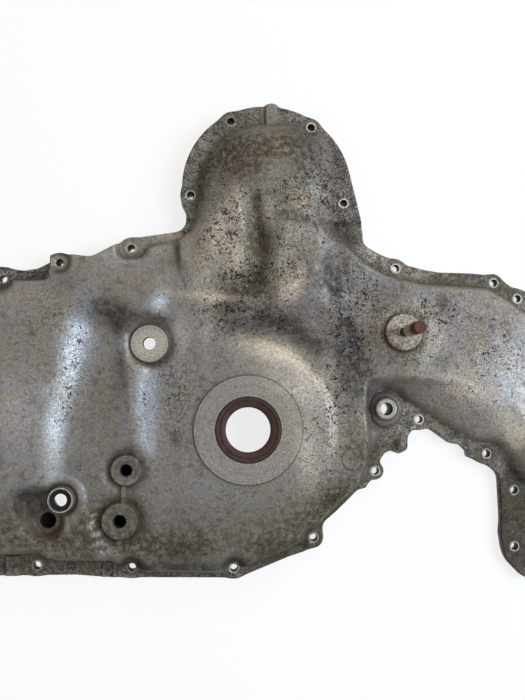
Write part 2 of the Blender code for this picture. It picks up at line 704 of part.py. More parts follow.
def thinned(points, error):
    """Drops the points of a closed line that its shape doesn't need."""
    keep = {0, len(points) // 3, 2 * len(points) // 3}
    spans = [(0, len(points) // 3), (len(points) // 3, 2 * len(points) // 3)]
    spans.append((2 * len(points) // 3, len(points)))
    closed = np.vstack((points, points[:1]))
    while spans:
        first, last = spans.pop()
        chord = closed[last] - closed[first]
        run = closed[first + 1:last] - closed[first]
        if not len(run):
            continue
        away = np.abs(run[:, 0] * chord[1] - run[:, 1] * chord[0]) / (np.hypot(*chord) + 1e-12)
        worst = int(np.argmax(away))
        if away[worst] > error:
            middle = first + 1 + worst
            keep.add(middle)
            spans += [(first, middle), (middle, last)]
    return points[sorted(keep)]


def crease(xs, ys, field, error=CREASE_ERROR):
    """The points that the line where a field is zero needs."""
    return thinned(zero_line(xs, ys, field), error)


def sampled(xs, ys, field, points):
    """Value of a field between its grid points."""
    u = (points[:, 0] - xs[0]) / GRID
    v = (points[:, 1] - ys[0]) / GRID
    j = np.clip(u.astype(int), 0, len(xs) - 2)
    i = np.clip(v.astype(int), 0, len(ys) - 2)
    u = u - j
    v = v - i
    low = field[i, j] * (1 - u) + field[i, j + 1] * u
    high = field[i + 1, j] * (1 - u) + field[i + 1, j + 1] * u
    return low * (1 - v) + high * v


def ring_points(x, y, radius, count):
    turns = np.arange(count) * (2 * math.pi / count)
    return np.stack((x + radius * np.cos(turns), y + radius * np.sin(turns)), axis=1)


def box_points(low_x, low_y, high_x, high_y, out):
    """Corners of an upright box and of the foot of its sloping sides."""
    corners = []
    for gap in (0.00002, out):
        for x in (low_x - gap, high_x + gap):
            for y in (low_y - gap, high_y + gap):
                corners.append((x, y))
    return np.array(corners)


def rib_points(x1, y1, x2, y2):
    """Points along both edges of a rib and along the foot of its flanks."""
    start = np.array((x1, y1))
    end = np.array((x2, y2))
    side = np.array((y1 - y2, x2 - x1)) / np.hypot(x2 - x1, y2 - y1)
    points = []
    for share in (0.0, 0.33, 0.67, 1.0):
        for out in (RIB_THICKNESS / 2, RIB_THICKNESS / 2 + 0.0028):
            middle = start * (1 - share) + end * share
            points += [middle + side * out, middle - side * out]
    return np.array(points)


def triangles_of(points, edge_count):
    edges = [(i, (i + 1) % edge_count) for i in range(edge_count)]
    vectors = [Vector((float(p[0]), float(p[1]))) for p in points]
    result = delaunay_2d_cdt(vectors, edges, [], 1, 1e-7)
    origin = [ids[0] if ids else None for ids in result[3]]
    faces = [sorted(origin[v] for v in face) for face in result[2] if None not in [origin[v] for v in face]]
    return [tuple(face) for face in faces]


def worst_miss(face, points, levels, xs, ys, surface, weight):
    """The grid point in a triangle that lies furthest from it: how far, row, column."""
    a, b, c = points[list(face)]
    za, zb, zc = levels[list(face)]
    area = (b[0] - a[0]) * (c[1] - a[1]) - (b[1] - a[1]) * (c[0] - a[0])
    if abs(area) < 2e-6:
        return None
    corner_x = (a[0], b[0], c[0])
    corner_y = (a[1], b[1], c[1])
    j1 = int(np.searchsorted(xs, min(corner_x)))
    j2 = int(np.searchsorted(xs, max(corner_x)))
    i1 = int(np.searchsorted(ys, min(corner_y)))
    i2 = int(np.searchsorted(ys, max(corner_y)))
    if j2 <= j1 or i2 <= i1:
        return None
    px = xs[None, j1:j2] - a[0]
    py = ys[i1:i2, None] - a[1]
    u = (px * (c[1] - a[1]) - py * (c[0] - a[0])) / area
    v = (py * (b[0] - a[0]) - px * (b[1] - a[1])) / area
    inside = (u > 0.02) & (v > 0.02) & (u + v < 0.98)
    miss = np.abs(za + u * (zb - za) + v * (zc - za) - surface[i1:i2, j1:j2])
    miss = miss * inside * weight[i1:i2, j1:j2]
    i, j = divmod(int(np.argmax(miss)), miss.shape[1])
    return (float(miss[i, j]), i1 + i, j1 + j)


def fitted_skin(outline, heights, rings, ring_heights, xs, ys, surface, free, budget):
    """Points and triangles that follow a surface, finer where it bends."""
    slope_y, slope_x = np.gradient(surface, GRID)
    weight = free / (1 + slope_x**2 + slope_y**2)
    points = np.vstack((outline, rings)) if len(rings) else outline.copy()
    levels = np.concatenate((heights, ring_heights))
    known = {}
    while True:
        faces = triangles_of(points, len(outline))
        if len(points) >= budget:
            return points, levels, faces
        known = {face: known.get(face) for face in faces}
        found = []
        for face in faces:
            if known[face] is None:
                known[face] = worst_miss(face, points, levels, xs, ys, surface, weight) or (0, 0, 0)
            if known[face][0] > MESH_ERROR:
                found.append(known[face])
        if not found:
            return points, levels, faces
        found.sort(reverse=True)
        take = found[:max(20, len(found) // 12)]
        take = take[:budget - len(points)]
        points = np.vstack((points, [(xs[j], ys[i]) for miss, i, j in take]))
        levels = np.concatenate((levels, [surface[i, j] for miss, i, j in take]))


def material(name, colour, roughness, metallic):
    new = bpy.data.materials.new(name)
    new.use_nodes = True
    shader = new.node_tree.nodes["Principled BSDF"]
    shader.inputs["Base Color"].default_value = (*colour, 1.0)
    shader.inputs["Roughness"].default_value = roughness
    shader.inputs["Metallic"].default_value = metallic
    return new


def piece(name, mesh, finish, parent):
    made = bpy.data.objects.new(name, mesh)
    mesh.materials.append(finish)
    made.parent = parent
    bpy.context.scene.collection.objects.link(made)
    return made


def spin_round(bm, profile, sides):
    """Spins radius and height pairs about Z; a profile that ends on the axis stays open there."""
    corners = [bm.verts.new((radius, 0.0, height)) for radius, height in profile]
    ahead = corners[1:] if profile[0][0] == 0 and profile[-1][0] == 0 else corners[1:] + corners[:1]
    edges = [bm.edges.new((a, b)) for a, b in zip(corners, ahead)]
    turn = 2 * math.pi
    bmesh.ops.spin(bm, geom=corners + edges, axis=(0, 0, 1), cent=(0, 0, 0), steps=sides, angle=turn)
    bmesh.ops.remove_doubles(bm, verts=bm.verts, dist=1e-6)
    bmesh.ops.recalc_face_normals(bm, faces=bm.faces)


def turned(name, profile, sides, finish, parent):
    """A body turned from a closed profile of radius and height pairs."""
    bm = bmesh.new()
    spin_round(bm, profile, sides)
    mesh = bpy.data.meshes.new(name)
    bm.to_mesh(mesh)
    bm.free()
    mesh.shade_smooth()
    mesh.set_sharp_from_angle(angle=math.radians(35))
    return piece(name, mesh, finish, parent)


def add_bore(bm, x, y, radius, low, high, sides=BORE_SIDES):
    result = bmesh.ops.create_cone(
        bm, cap_ends=True, segments=sides, radius1=radius, radius2=radius, depth=high - low
    )
    bmesh.ops.translate(bm, verts=result["verts"], vec=(x, y, (low + high) / 2))


def back_seeds(xs, ys, x, y, back):
    """Points along the creases of the inner side."""
    rim = rim_depth(x, y)
    seeds = [
        crease(xs, ys, rim, 2 * CREASE_ERROR),
        crease(xs, ys, CAVITY_RISE * rim - 0.020, 2 * CREASE_ERROR),
        ring_points(0, 0, SEAL_HOUSING / 2 - 0.0001, 32),
        ring_points(0, 0, SEAL_HOUSING / 2 + 0.0020, 32),
    ]
    for post_x, post_y, foot, radius in POSTS:
        seeds.append(ring_points(post_x, post_y, radius - 0.0002, 12))
        seeds.append(ring_points(post_x, post_y, radius + (0.026 - foot) / 6.0, 12))
    for x1, y1, x2, y2, edge in RIBS:
        seeds.append(rib_points(x1, y1, x2, y2))
    return np.vstack(seeds)


def casting_mesh():
    margin = 4 * GRID
    loop_low = OUTLINE_LOOP.min(axis=0) - margin
    loop_high = OUTLINE_LOOP.max(axis=0) + margin
    xs = np.arange(loop_low[0], loop_high[0], GRID)
    ys = np.arange(loop_low[1], loop_high[1], GRID)
    x, y = np.meshgrid(xs, ys)
    depth = edge_depth(x, y)
    front = front_height(x, y)
    back = back_height(x, y, front)
    outline = thinned(zero_line(xs, ys, depth), OUTLINE_ERROR)
    body_depth = depth_in(BODY_LOOP, x, y)
    rings = [crease(xs, ys, body_depth + 0.0008), crease(xs, ys, body_depth - 0.0012)]
    over = SIDE_RISE * body_depth + flange_height(x, y) - body_height(x, y)
    rings += [crease(xs, ys, over + EDGE_ROUND / 2), crease(xs, ys, over - EDGE_ROUND)]
    for boss_x, boss_y, face, radius, moat, deep in BOSSES.values():
        rings.append(ring_points(boss_x, boss_y, radius - 0.00002, 24))
        rings.append(ring_points(boss_x, boss_y, radius + 0.0018, 24))
    rings.append(ring_points(TUBE[0], TUBE[1], TUBE[3], 20))
    rings.append(ring_points(TUBE[0], TUBE[1], TUBE[3] + 0.0026, 20))
    rings.append(ring_points(0, 0, SEAL_FACE_RING / 2 - 0.00002, 56))
    rings.append(ring_points(0, 0, SEAL_FACE_RING / 2 + 0.00030, 56))
    rings.append(ring_points(EJECTOR[0], EJECTOR[1], EJECTOR[2], 20))
    rings.append(ring_points(EJECTOR[0], EJECTOR[1], EJECTOR[2] + EJECTOR[3], 20))
    rings.append(box_points(*WING_PAD[:4], WING_PAD[4] / 3))
    for pad in PADS:
        rings.append(box_points(*pad[:4], 0.0008))
    rings = np.vstack(rings)
    rings = rings[edge_depth(rings[:, 0], rings[:, 1]) > 0.0008]
    ring_heights = front_height(rings[:, 0], rings[:, 1])
    edge_heights = front_height(outline[:, 0], outline[:, 1])
    free = depth > 0.0012
    taken = np.hypot(x, y) < SEAL_FACE_RING / 2
    front_skin = fitted_skin(
        outline, edge_heights, rings, ring_heights, xs, ys, front, free & ~taken, FRONT_POINTS
    )
    rings = back_seeds(xs, ys, x, y, back)
    rings = rings[edge_depth(rings[:, 0], rings[:, 1]) > 0.0012]
    ring_heights = sampled(xs, ys, back, rings)
    back_skin = fitted_skin(
        outline, np.zeros(len(outline)), rings, ring_heights, xs, ys, back, free, BACK_POINTS
    )
    bm = bmesh.new()
    rims = []
    for points, levels, faces in (front_skin, back_skin):
        verts = [bm.verts.new((p[0], p[1], z)) for p, z in zip(points, levels)]
        for a, b, c in faces:
            bm.faces.new((verts[a], verts[b], verts[c]))
        rims.append(verts[:len(outline)])
    for i in range(len(outline)):
        j = (i + 1) % len(outline)
        bm.faces.new((rims[0][i], rims[0][j], rims[1][j], rims[1][i]))
    bmesh.ops.recalc_face_normals(bm, faces=bm.faces)
    mesh = bpy.data.meshes.new("cover_casting")
    bm.to_mesh(mesh)
    bm.free()
    return mesh


def bores(parent):
    """Every straight hole of the casting, as one cutter."""
    bm = bmesh.new()
    for bolt_x, bolt_y, pad, ear in BOLTS:
        add_bore(bm, bolt_x, bolt_y, BOLT_BORE / 2, -CUT_PAST, pad + CUT_PAST, BOLT_SIDES)
    for name, (radius, floor) in BOSS_HOLES.items():
        low = -CUT_PAST if floor is None else floor
        add_bore(bm, BOSSES[name][0], BOSSES[name][1], radius, low, SEAL_FACE + CUT_PAST)
    stud_x, stud_y, face = BOSSES["stud"][:3]
    foot = face - STUD_SUNK - CLEARANCE
    add_bore(bm, stud_x, stud_y, STUD_NECK / 2 + CLEARANCE, foot, face + CUT_PAST)
    add_bore(bm, PIT[0], PIT[1], PIT_BORE, PIT_FLOOR, SEAL_FACE + CUT_PAST)
    mesh = bpy.data.meshes.new("bores")
    bm.to_mesh(mesh)
    bm.free()
    return cutter("bores", mesh, parent)


def stepped_bore(name, x, y, steps, sides, parent):
    """A round cutter whose radius changes with height: pairs of radius and height."""
    bm = bmesh.new()
    spin_round(bm, [(0.0, steps[0][1])] + list(steps) + [(0.0, steps[-1][1])], sides)
    mesh = bpy.data.meshes.new(name)
    bm.to_mesh(mesh)
    bm.free()
    made = cutter(name, mesh, parent)
    made.location = (x, y, 0)
    return made


def cutter(name, mesh, parent):
    made = bpy.data.objects.new(name, mesh)
    made.display_type = "WIRE"
    made.hide_render = True
    made.parent = parent
    bpy.context.scene.collection.objects.link(made)
    return made


def cut(target, tool):
    step = target.modifiers.new("cut_" + tool.name, "BOOLEAN")
    step.operation = "DIFFERENCE"
    step.solver = "EXACT"
    step.object = tool


def cover_casting(parent):
    finish = material("cast_aluminium", (0.43, 0.40, 0.37), 0.48, 0.85)
    mesh = casting_mesh()
    casting = piece("cover_casting", mesh, finish, parent)
    cut(casting, bores(parent))
    seat = SEAL_FACE - SEAL_DEPTH
    crank = (
        (SHOULDER_BORE / 2, HOUSING_BOTTOM - CUT_PAST),
        (SHOULDER_BORE / 2, seat),
        (SEAL_SEAT / 2, seat),
        (SEAL_SEAT / 2, SEAL_FACE + CUT_PAST),
    )
    cut(casting, stepped_bore("crank_bore", 0, 0, crank, 48, parent))
    mouth = TUBE[2] - TUBE_MOUTH_DEPTH
    tube = (
        (TUBE_BORE, -CUT_PAST),
        (TUBE_BORE, mouth),
        (TUBE_MOUTH, mouth),
        (TUBE_MOUTH, TUBE[2] + CUT_PAST),
    )
    cut(casting, stepped_bore("tube_bore", TUBE[0], TUBE[1], tube, 24, parent))
    mesh.shade_smooth()
    mesh.set_sharp_from_angle(angle=math.radians(40))
    return casting


def crank_seal(parent):
    """Rubber body: front wall, outer wall, dust lip and main lip."""
    finish = material("seal_rubber", (0.075, 0.034, 0.025), 0.55, 0.0)
    outer = SEAL_SEAT / 2 - CLEARANCE
    low = SEAL_FACE - SEAL_DEPTH + CLEARANCE
    top = SEAL_FACE - SEAL_SINK
    lip = SEAL_BORE / 2
    wall = outer - 0.0021
    web = top - 0.0013
    profile = (
        (outer, low),
        (outer, top - 0.0004),
        (outer - 0.0004, top),
        (outer - 0.0032, top),
        (outer - 0.0035, top - 0.0005),
        (outer - 0.0041, top - 0.0005),
        (outer - 0.0044, top - 0.0001),
        (lip + 0.0008, top - 0.0013),
        (lip, top - 0.0023),
        (lip + 0.0006, top - 0.0033),
        (lip + 0.0009, top - 0.0041),
        (lip, top - 0.0052),
        (lip + 0.0016, top - 0.0072),
        (lip + 0.0028, top - 0.0070),
        (lip + 0.0030, top - 0.0064),
        (lip + 0.0021, top - 0.0059),
        (lip + 0.0020, top - 0.0043),
        (lip + 0.0034, top - 0.0030),
        (lip + 0.0037, web),
        (wall, web),
        (wall, low),
    )
    seal = turned("crank_seal", profile, SEAL_SIDES, finish, parent)
    steel = material("seal_steel", (0.35, 0.33, 0.31), 0.4, 1.0)
    case_outer = wall - CLEARANCE
    case_top = web - CLEARANCE
    case_low = low + CLEARANCE
    profile = (
        (case_outer, case_low),
        (case_outer, case_top),
        (lip + 0.0042, case_top),
        (lip + 0.0042, case_top - CASE_SHEET),
        (case_outer - CASE_SHEET, case_top - CASE_SHEET),
        (case_outer - CASE_SHEET, case_low),
    )
    turned("seal_case", profile, SEAL_SIDES, steel, parent)
    middle = lip + 0.0020 + CLEARANCE + SPRING_WIRE / 2
    spring_height = top - 0.0050
    profile = [
        (
            middle + SPRING_WIRE / 2 * math.cos(k * math.pi / 3),
            spring_height + SPRING_WIRE / 2 * math.sin(k * math.pi / 3),
        )
        for k in range(6)
    ]
    turned("seal_spring", profile, SEAL_SIDES, steel, parent)
    return seal


def tensioner_stud(parent):
    """Steel stud: sunk end and neck, shoulder, thicker end."""
    finish = material("stud_steel", (0.20, 0.11, 0.07), 0.7, 0.6)
    face = BOSSES["stud"][2]
    foot = face - STUD_SUNK
    top = foot + STUD_LENGTH
    neck = STUD_NECK / 2
    head = STUD_HEAD / 2
    shoulder = face + STUD_NECK_HEIGHT
    profile = (
        (0.0, foot),
        (neck - 0.0006, foot),
        (neck, foot + 0.0006),
        (neck, shoulder),
        (head, shoulder + 0.0018),
        (head, top - 0.0008),
        (head - 0.0008, top),
        (0.0, top),
    )
    stud = turned("tensioner_stud", profile, 20, finish, parent)
    stud.location = (BOSSES["stud"][0], BOSSES["stud"][1], 0.0)
    return stud


def main():
    for old in list(bpy.data.objects):
        bpy.data.objects.remove(old, do_unlink=True)
    assembly = bpy.data.objects.new("assembly", None)
    bpy.context.scene.collection.objects.link(assembly)
    casting = cover_casting(assembly)
    crank_seal(assembly)
    tensioner_stud(assembly)
    corners = np.array([vertex.co[:2] for vertex in casting.data.vertices])
    middle = (corners.min(axis=0) + corners.max(axis=0)) / 2
    assembly.location = (-middle[0], -middle[1], 0.0)


main()
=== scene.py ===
import math

import bmesh
import bpy
import numpy as np
from mathutils import Matrix, Vector
from mathutils.geometry import delaunay_2d_cdt


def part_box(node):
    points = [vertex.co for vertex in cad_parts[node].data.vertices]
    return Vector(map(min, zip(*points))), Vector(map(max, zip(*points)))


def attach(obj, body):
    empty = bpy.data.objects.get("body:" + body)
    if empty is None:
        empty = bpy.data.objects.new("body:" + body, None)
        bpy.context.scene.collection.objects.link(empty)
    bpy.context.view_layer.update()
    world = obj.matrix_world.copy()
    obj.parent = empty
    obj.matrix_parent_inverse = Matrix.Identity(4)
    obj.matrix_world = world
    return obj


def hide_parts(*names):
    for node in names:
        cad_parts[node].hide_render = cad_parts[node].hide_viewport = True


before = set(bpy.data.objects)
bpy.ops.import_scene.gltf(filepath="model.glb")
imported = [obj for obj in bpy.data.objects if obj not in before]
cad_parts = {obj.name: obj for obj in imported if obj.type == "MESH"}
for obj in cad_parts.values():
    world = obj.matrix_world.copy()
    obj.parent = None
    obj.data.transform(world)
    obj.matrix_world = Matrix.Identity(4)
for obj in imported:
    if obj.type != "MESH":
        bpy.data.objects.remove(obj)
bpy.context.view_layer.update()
for spare in ("Cube", "Light", "Camera"):  # what a new file opens with
    if spare in bpy.data.objects:
        bpy.data.objects.remove(bpy.data.objects[spare])
sealLow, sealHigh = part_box("crank_seal")
crankX = (sealLow.x + sealHigh.x) / 2  # everything on the cover is measured from the crank's axis
crankY = (sealLow.y + sealHigh.y) / 2
print("frame loaded, crank axis at", round(crankX, 5), round(crankY, 5))

# Shape of the casting, in metres
heights = {
    "wingFlange": 0.0090,
    "stepFlange": 0.0200,
    "domeFlange": 0.0190,
    "sealFace": 0.0400,
    "housingBottom": 0.0240,
}

casting = {
    "wall": 0.0045,
    "sideRise": 3.2,         # slope of the body's side walls
    "domeGentle": 1.8,       # how much gentler they are round the dome
    "notchGentle": 0.6,      # and above the notch
    "domeStarts": (0.160, 0.215),
    "domeRound": 0.016,
    "notchLeft": (0.098, 0.122),
    "notchTop": (0.040, 0.070),
    "notchRight": (0.285, 0.310),
    "apron": (0.0155, 0.57),  # above the notch the skin comes down in a long slope
    "apronBlend": 0.0100,
    "clearingRise": 2.2,     # side of the flat round each bolt
    "clearingBlend": 0.0015,
    "cavityRise": 3.6,
    "cavityEase": 0.0060,
    "edgeRound": 0.0055,
    "footFillet": 0.0025,
    "earBlend": 0.0060,
    "boltBore": 0.0070,
    "boltClearing": 0.0078,
    "boltPost": 0.0085,
    "bossRise": 2.5,
    "bossBlend": 0.0012,
    "postRise": 6.0,
    "ribRise": 5.0,
    "ribThickness": 0.0040,
    "rimRound": 0.0009,      # rounding of the flange's top edge
    "boreChamfer": 0.0004,
    "grid": 0.0015,
    "coarse": 3,             # flat parts take one grid point in three,
    "gentleBend": 2.9,       # gently bent ones every second
    "sharpBend": 10.0,       # and sharply bent ones all
}

sealSizes = {
    "seat": 0.0620,
    "depth": 0.0090,
    "bore": 0.0420,
    "sink": 0.0004,
    "shoulderBore": 0.0550,
    "faceRing": 0.1016,
    "housing": 0.0740,
    "clearance": 0.0003,
}

# Outer edge of the bolting flange: corner x, corner y, corner radius
outlineCorners = (
    (-0.323, -0.136, 0.034),
    (-0.162, -0.1372, 0.020),
    (-0.130, -0.1402, 0.020),
    (-0.0075, -0.143, 0.010),
    (0.041, -0.124, 0.008),
    (0.0555, -0.1195, 0.004),
    (0.072, -0.112, 0.006),
    (0.075, -0.092, 0.010),
    (0.0886, -0.0806, 0.014),
    (0.1097, -0.0606, 0.003),
    (0.1182, -0.0586, 0.0025),
    (0.121, -0.052, 0.002),
    (0.126, -0.040, 0.002),
    (0.1315, -0.0325, 0.003),
    (0.1375, -0.0245, 0.004),
    (0.1435, -0.0225, 0.003),
    (0.151, -0.026, 0.004),
    (0.1603, -0.0215, 0.004),
    (0.1605, -0.009, 0.006),
    (0.1655, -0.0018, 0.006),
    (0.182, -0.0002, 0.014),
    (0.2038, -0.0156, 0.008),
    (0.2145, -0.0173, 0.005),
    (0.221, -0.024, 0.002),
    (0.2212, -0.0294, 0.002),
    (0.240, -0.0358, 0.016),
    (0.2535, -0.046, 0.014),
    (0.2550, -0.092, 0.020),
    (0.2535, -0.106, 0.020),
    (0.2590, -0.131, 0.020),
    (0.278, -0.1505, 0.016),
    (0.304, -0.148, 0.022),
    (0.323, -0.124, 0.024),
    (0.323, 0.108, 0.034),
    (0.292, 0.1355, 0.012),
    (0.272, 0.142, 0.010),
    (0.255, 0.154, 0.005),
    (0.229, 0.1563, 0.020),
    (0.195, 0.1568, 0.020),
    (0.180, 0.1592, 0.020),
    (0.158, 0.1645, 0.012),
    (0.133, 0.1753, 0.014),
    (0.1175, 0.184, 0.010),
    (0.1145, 0.202, 0.008),
    (0.0866, 0.320, 0.084),
    (-0.0644, 0.320, 0.084),
    (-0.0644, 0.222, 0.008),
    (-0.0600, 0.210, 0.008),
    (-0.0603, 0.1925, 0.012),
    (-0.081, 0.1891, 0.010),
    (-0.1165, 0.1832, 0.008),
    (-0.148, 0.1628, 0.014),
    (-0.1775, 0.1658, 0.010),
    (-0.186, 0.1648, 0.006),
    (-0.203, 0.1553, 0.014),
    (-0.216, 0.1530, 0.014),
    (-0.236, 0.1550, 0.010),
    (-0.256, 0.158, 0.012),
    (-0.323, 0.130, 0.034),
)

# Foot of the raised body on the flange: corner x, corner y, corner radius
bodyCorners = (
    (-0.304, -0.1195, 0.022),
    (-0.212, -0.1176, 0.010),
    (-0.196, -0.1168, 0.008),
    (-0.188, -0.121, 0.006),
    (-0.176, -0.1243, 0.008),
    (-0.121, -0.1253, 0.005),
    (-0.095, -0.136, 0.004),
    (-0.018, -0.138, 0.006),
    (0.038, -0.118, 0.010),
    (0.054, -0.109, 0.008),
    (0.0752, -0.0884, 0.010),
    (0.1105, -0.0556, 0.006),
    (0.1185, -0.0375, 0.008),
    (0.1297, -0.0128, 0.010),
    (0.1345, -0.004, 0.005),
    (0.1255, 0.006, 0.006),
    (0.1215, 0.018, 0.008),
    (0.1245, 0.030, 0.008),
    (0.1350, 0.0370, 0.010),
    (0.1500, 0.0340, 0.010),
    (0.1625, 0.0240, 0.008),
    (0.1824, 0.0130, 0.010),
    (0.1986, 0.0020, 0.010),
    (0.213, -0.0060, 0.008),
    (0.223, -0.0135, 0.005),
    (0.233, -0.0145, 0.005),
    (0.250, -0.0150, 0.008),
    (0.2615, -0.0290, 0.007),
    (0.2645, -0.0430, 0.006),
    (0.2735, -0.0540, 0.008),
    (0.2850, -0.0600, 0.010),
    (0.304, -0.063, 0.014),
    (0.304, 0.102, 0.024),
    (0.2792, 0.1181, 0.010),
    (0.2611, 0.1305, 0.008),
    (0.241, 0.1423, 0.010),
    (0.1733, 0.1456, 0.020),
    (0.1374, 0.1543, 0.014),
    (0.116, 0.1663, 0.010),
    (0.103, 0.180, 0.012),
    (0.0872, 0.200, 0.010),
    (0.0862, 0.3025, 0.036),
    (-0.0500, 0.3025, 0.071),
    (-0.0500, 0.226, 0.010),
    (-0.0515, 0.206, 0.010),
    (-0.0560, 0.192, 0.006),
    (-0.0664, 0.1838, 0.006),
    (-0.096, 0.177, 0.008),
    (-0.103, 0.165, 0.006),
    (-0.122, 0.164, 0.006),
    (-0.126, 0.200, 0.003),
    (-0.190, 0.200, 0.003),
    (-0.190, 0.146, 0.004),
    (-0.212, 0.1442, 0.008),
    (-0.240, 0.1438, 0.008),
    (-0.304, 0.112, 0.022),
)

wingPad, stepPad, domePad = heights["wingFlange"], heights["stepFlange"], heights["domeFlange"]
farAbove = 0.05  # lifts a limit out of reach where it shouldn't act

# Where the flange climbs from the wings to the upper left ledge and to the dome
flangeSteps = {
    "domeRight": (0.178, 0.200),
    "domeSharp": (0.2005, 0.2065),
    "domeShare": 0.6,
    "domeLeft": (0.196, 0.202),
    "upperLeft": (-0.192, -0.188),
    "upperLow": (0.138, 0.150),
    "upperRight": (-0.020, 0.000),
}

# Flange bolts: x, y, height of their pad, ear radius, how bright their worn ring is
bolts = (
    (-0.2356, 0.1444, wingPad, 0.0105, 0.3),
    (-0.1976, -0.1277, wingPad, 0.0085, 0.5),
    (-0.1092, -0.1309, wingPad, 0.0085, 0.4),
    (-0.0122, -0.1335, wingPad, 0.0086, 0.8),
    (0.0653, -0.1060, wingPad, 0.0086, 0.7),
    (0.1271, -0.0424, wingPad, 0.0086, 0.8),
    (0.1720, 0.0082, wingPad, 0.0088, 0.9),
    (0.2406, -0.0261, wingPad, 0.0094, 0.7),
    (0.2682, -0.0625, wingPad, 0.0090, 0.7),
    (0.2671, -0.1178, wingPad, 0.0090, 0.8),
    (0.1504, 0.1602, wingPad, 0.0092, 0.9),
    (0.2521, 0.1466, wingPad, 0.0080, 0.9),
    (0.2766, 0.1308, wingPad, 0.0088, 0.9),
    (-0.1798, 0.1588, stepPad, 0.0085, 0.4),
    (-0.1126, 0.1739, stepPad, 0.0092, 0.4),
    (-0.0559, 0.2280, domePad, 0.0088, 0.7),
    (-0.0169, 0.3034, domePad, 0.0090, 0.3),
    (0.0635, 0.2995, domePad, 0.0085, 0.9),
    (0.0958, 0.2230, domePad, 0.0092, 1.0),
    (-0.3120, 0.0900, wingPad, 0.0085, 0.5),
    (-0.3120, 0.0100, wingPad, 0.0085, 0.5),
    (-0.3120, -0.0700, wingPad, 0.0085, 0.5),
    (-0.2960, -0.1255, wingPad, 0.0085, 0.5),
    (0.3120, 0.0600, wingPad, 0.0085, 0.6),
    (0.3120, -0.0120, wingPad, 0.0085, 0.6),
    (0.3050, -0.1320, wingPad, 0.0085, 0.6),
)

# Broad forms of the raised body
bodyForm = {
    "level": 0.0325,
    "rightFall": 0.0015,
    "lowFall": 0.0020,
    "endFall": 0.0030,
    "plateauRise": 0.0042,            # the left wing stands higher
    "plateauEdge": (-0.1080, -0.0845),
    "plateauFade": (-0.0550, -0.0050),
    "plateauShift": 0.0140,           # and reaches further right above the upper boss
    "coneDrop": 0.0014,               # shallow cone round the seal's face
    "coneSlope": 0.11,
    "shoulderDrop": 0.0065,
    "shoulderRadii": (0.076, 0.091),
    "shoulderTurns": (-75, -30, 95, 125),
    "panelX": (-0.200, -0.145, -0.124, -0.083, -0.045, -0.014, 0.005, 0.030),
    "panelY": (0.166, 0.157, 0.148, 0.136, 0.132, 0.136, 0.160, 0.200),
    "panelHeight": 0.0350,            # beyond its ridge line the upper left panel falls away
    "panelFall": 0.28,
    "panelLobe": (-0.030, 0.205, -0.024, 0.160),
    "panelLobeReach": (0.026, 0.044),
    "panelEnd": (-0.040, 0.010),
    "panelTop": (0.190, 0.210),
    "blend": 0.0040,
}

# Long trough down the left wing: stations up the wing and both sides of its floor there
scoopForm = {
    "depth": 0.0078,
    "stations": (-0.037, 0.000, 0.046, 0.093),
    "left": (-0.1660, -0.1640, -0.1530, -0.1415),
    "right": (-0.1154, -0.1177, -0.1230, -0.1283),
    "slopes": (0.0320, 0.0135),
    "top": (0.0950, 0.1160),
    "end": (0.0300, 0.0950),
}

# Soft forms of the front: two ends of the spine, flat radius, foot radius, rise
swells = (
    (-0.300, 0.110, -0.260, -0.020, 0.075, 0.130, 0.0030),
    (-0.196, 0.036, -0.260, 0.008, 0.002, 0.014, 0.0018),
    (-0.024, 0.206, -0.020, 0.160, 0.012, 0.036, 0.0085),
    (0.050, 0.188, 0.042, 0.142, 0.015, 0.044, 0.0090),
    (0.062, 0.150, 0.076, 0.070, 0.006, 0.034, 0.0030),
    (0.022, 0.250, 0.022, 0.230, 0.010, 0.075, 0.0100),
    (0.014, 0.208, 0.082, 0.190, 0.001, 0.013, -0.0014),
    (0.012, 0.103, 0.062, 0.100, 0.003, 0.026, -0.0034),
    (0.150, 0.092, 0.152, 0.092, 0.018, 0.040, 0.0020),
    (0.200, 0.060, 0.260, 0.070, 0.020, 0.080, 0.0015),
)

# Groove between the two lobes under the dome
grooveCorners = (
    (0.0010, 0.2160),
    (0.0070, 0.1950),
    (0.0125, 0.1760),
    (0.0125, 0.1590),
    (0.0050, 0.1450),
    (-0.0110, 0.1360),
    (-0.0240, 0.1210),
    (-0.0330, 0.0940),
)
groove = {"depth": 0.0050, "reach": 0.0170, "lowShare": 0.25, "deepens": (0.115, 0.165), "sharpness": 1.5}

# Raised pads on the flange: low corner, high corner, top
pads = (
    (0.0184, 0.2985, 0.0291, 0.3300, domePad + 0.0025),
    (-0.2256, -0.1400, -0.2136, -0.1186, wingPad + 0.0022),
    (-0.1366, -0.1420, -0.1346, -0.1225, wingPad + 0.0014),
    (-0.1262, -0.1420, -0.1242, -0.1225, wingPad + 0.0014),
)
wingBar = (-0.2620, -0.0335, -0.2246, -0.0020, 0.0013)  # a flat pad on the left wing's skin, and its rise
ejector = {"x": 0.1001, "y": -0.0285, "radius": 0.0103, "rise": 0.0006}
lugs = ((0.0238, 0.3140, 0.0083),)  # ears without a bolt: x, y, radius
lumps = (  # cast lumps on the flange: x, y, radius, top
    (0.1525, -0.0165, 0.0062, 0.0150),
    (0.2140, -0.0065, 0.0050, 0.0125),
    (0.2215, -0.0135, 0.0045, 0.0120),
    (0.1235, -0.0545, 0.0040, 0.0120),
    (0.0605, -0.1120, 0.0045, 0.0120),
)

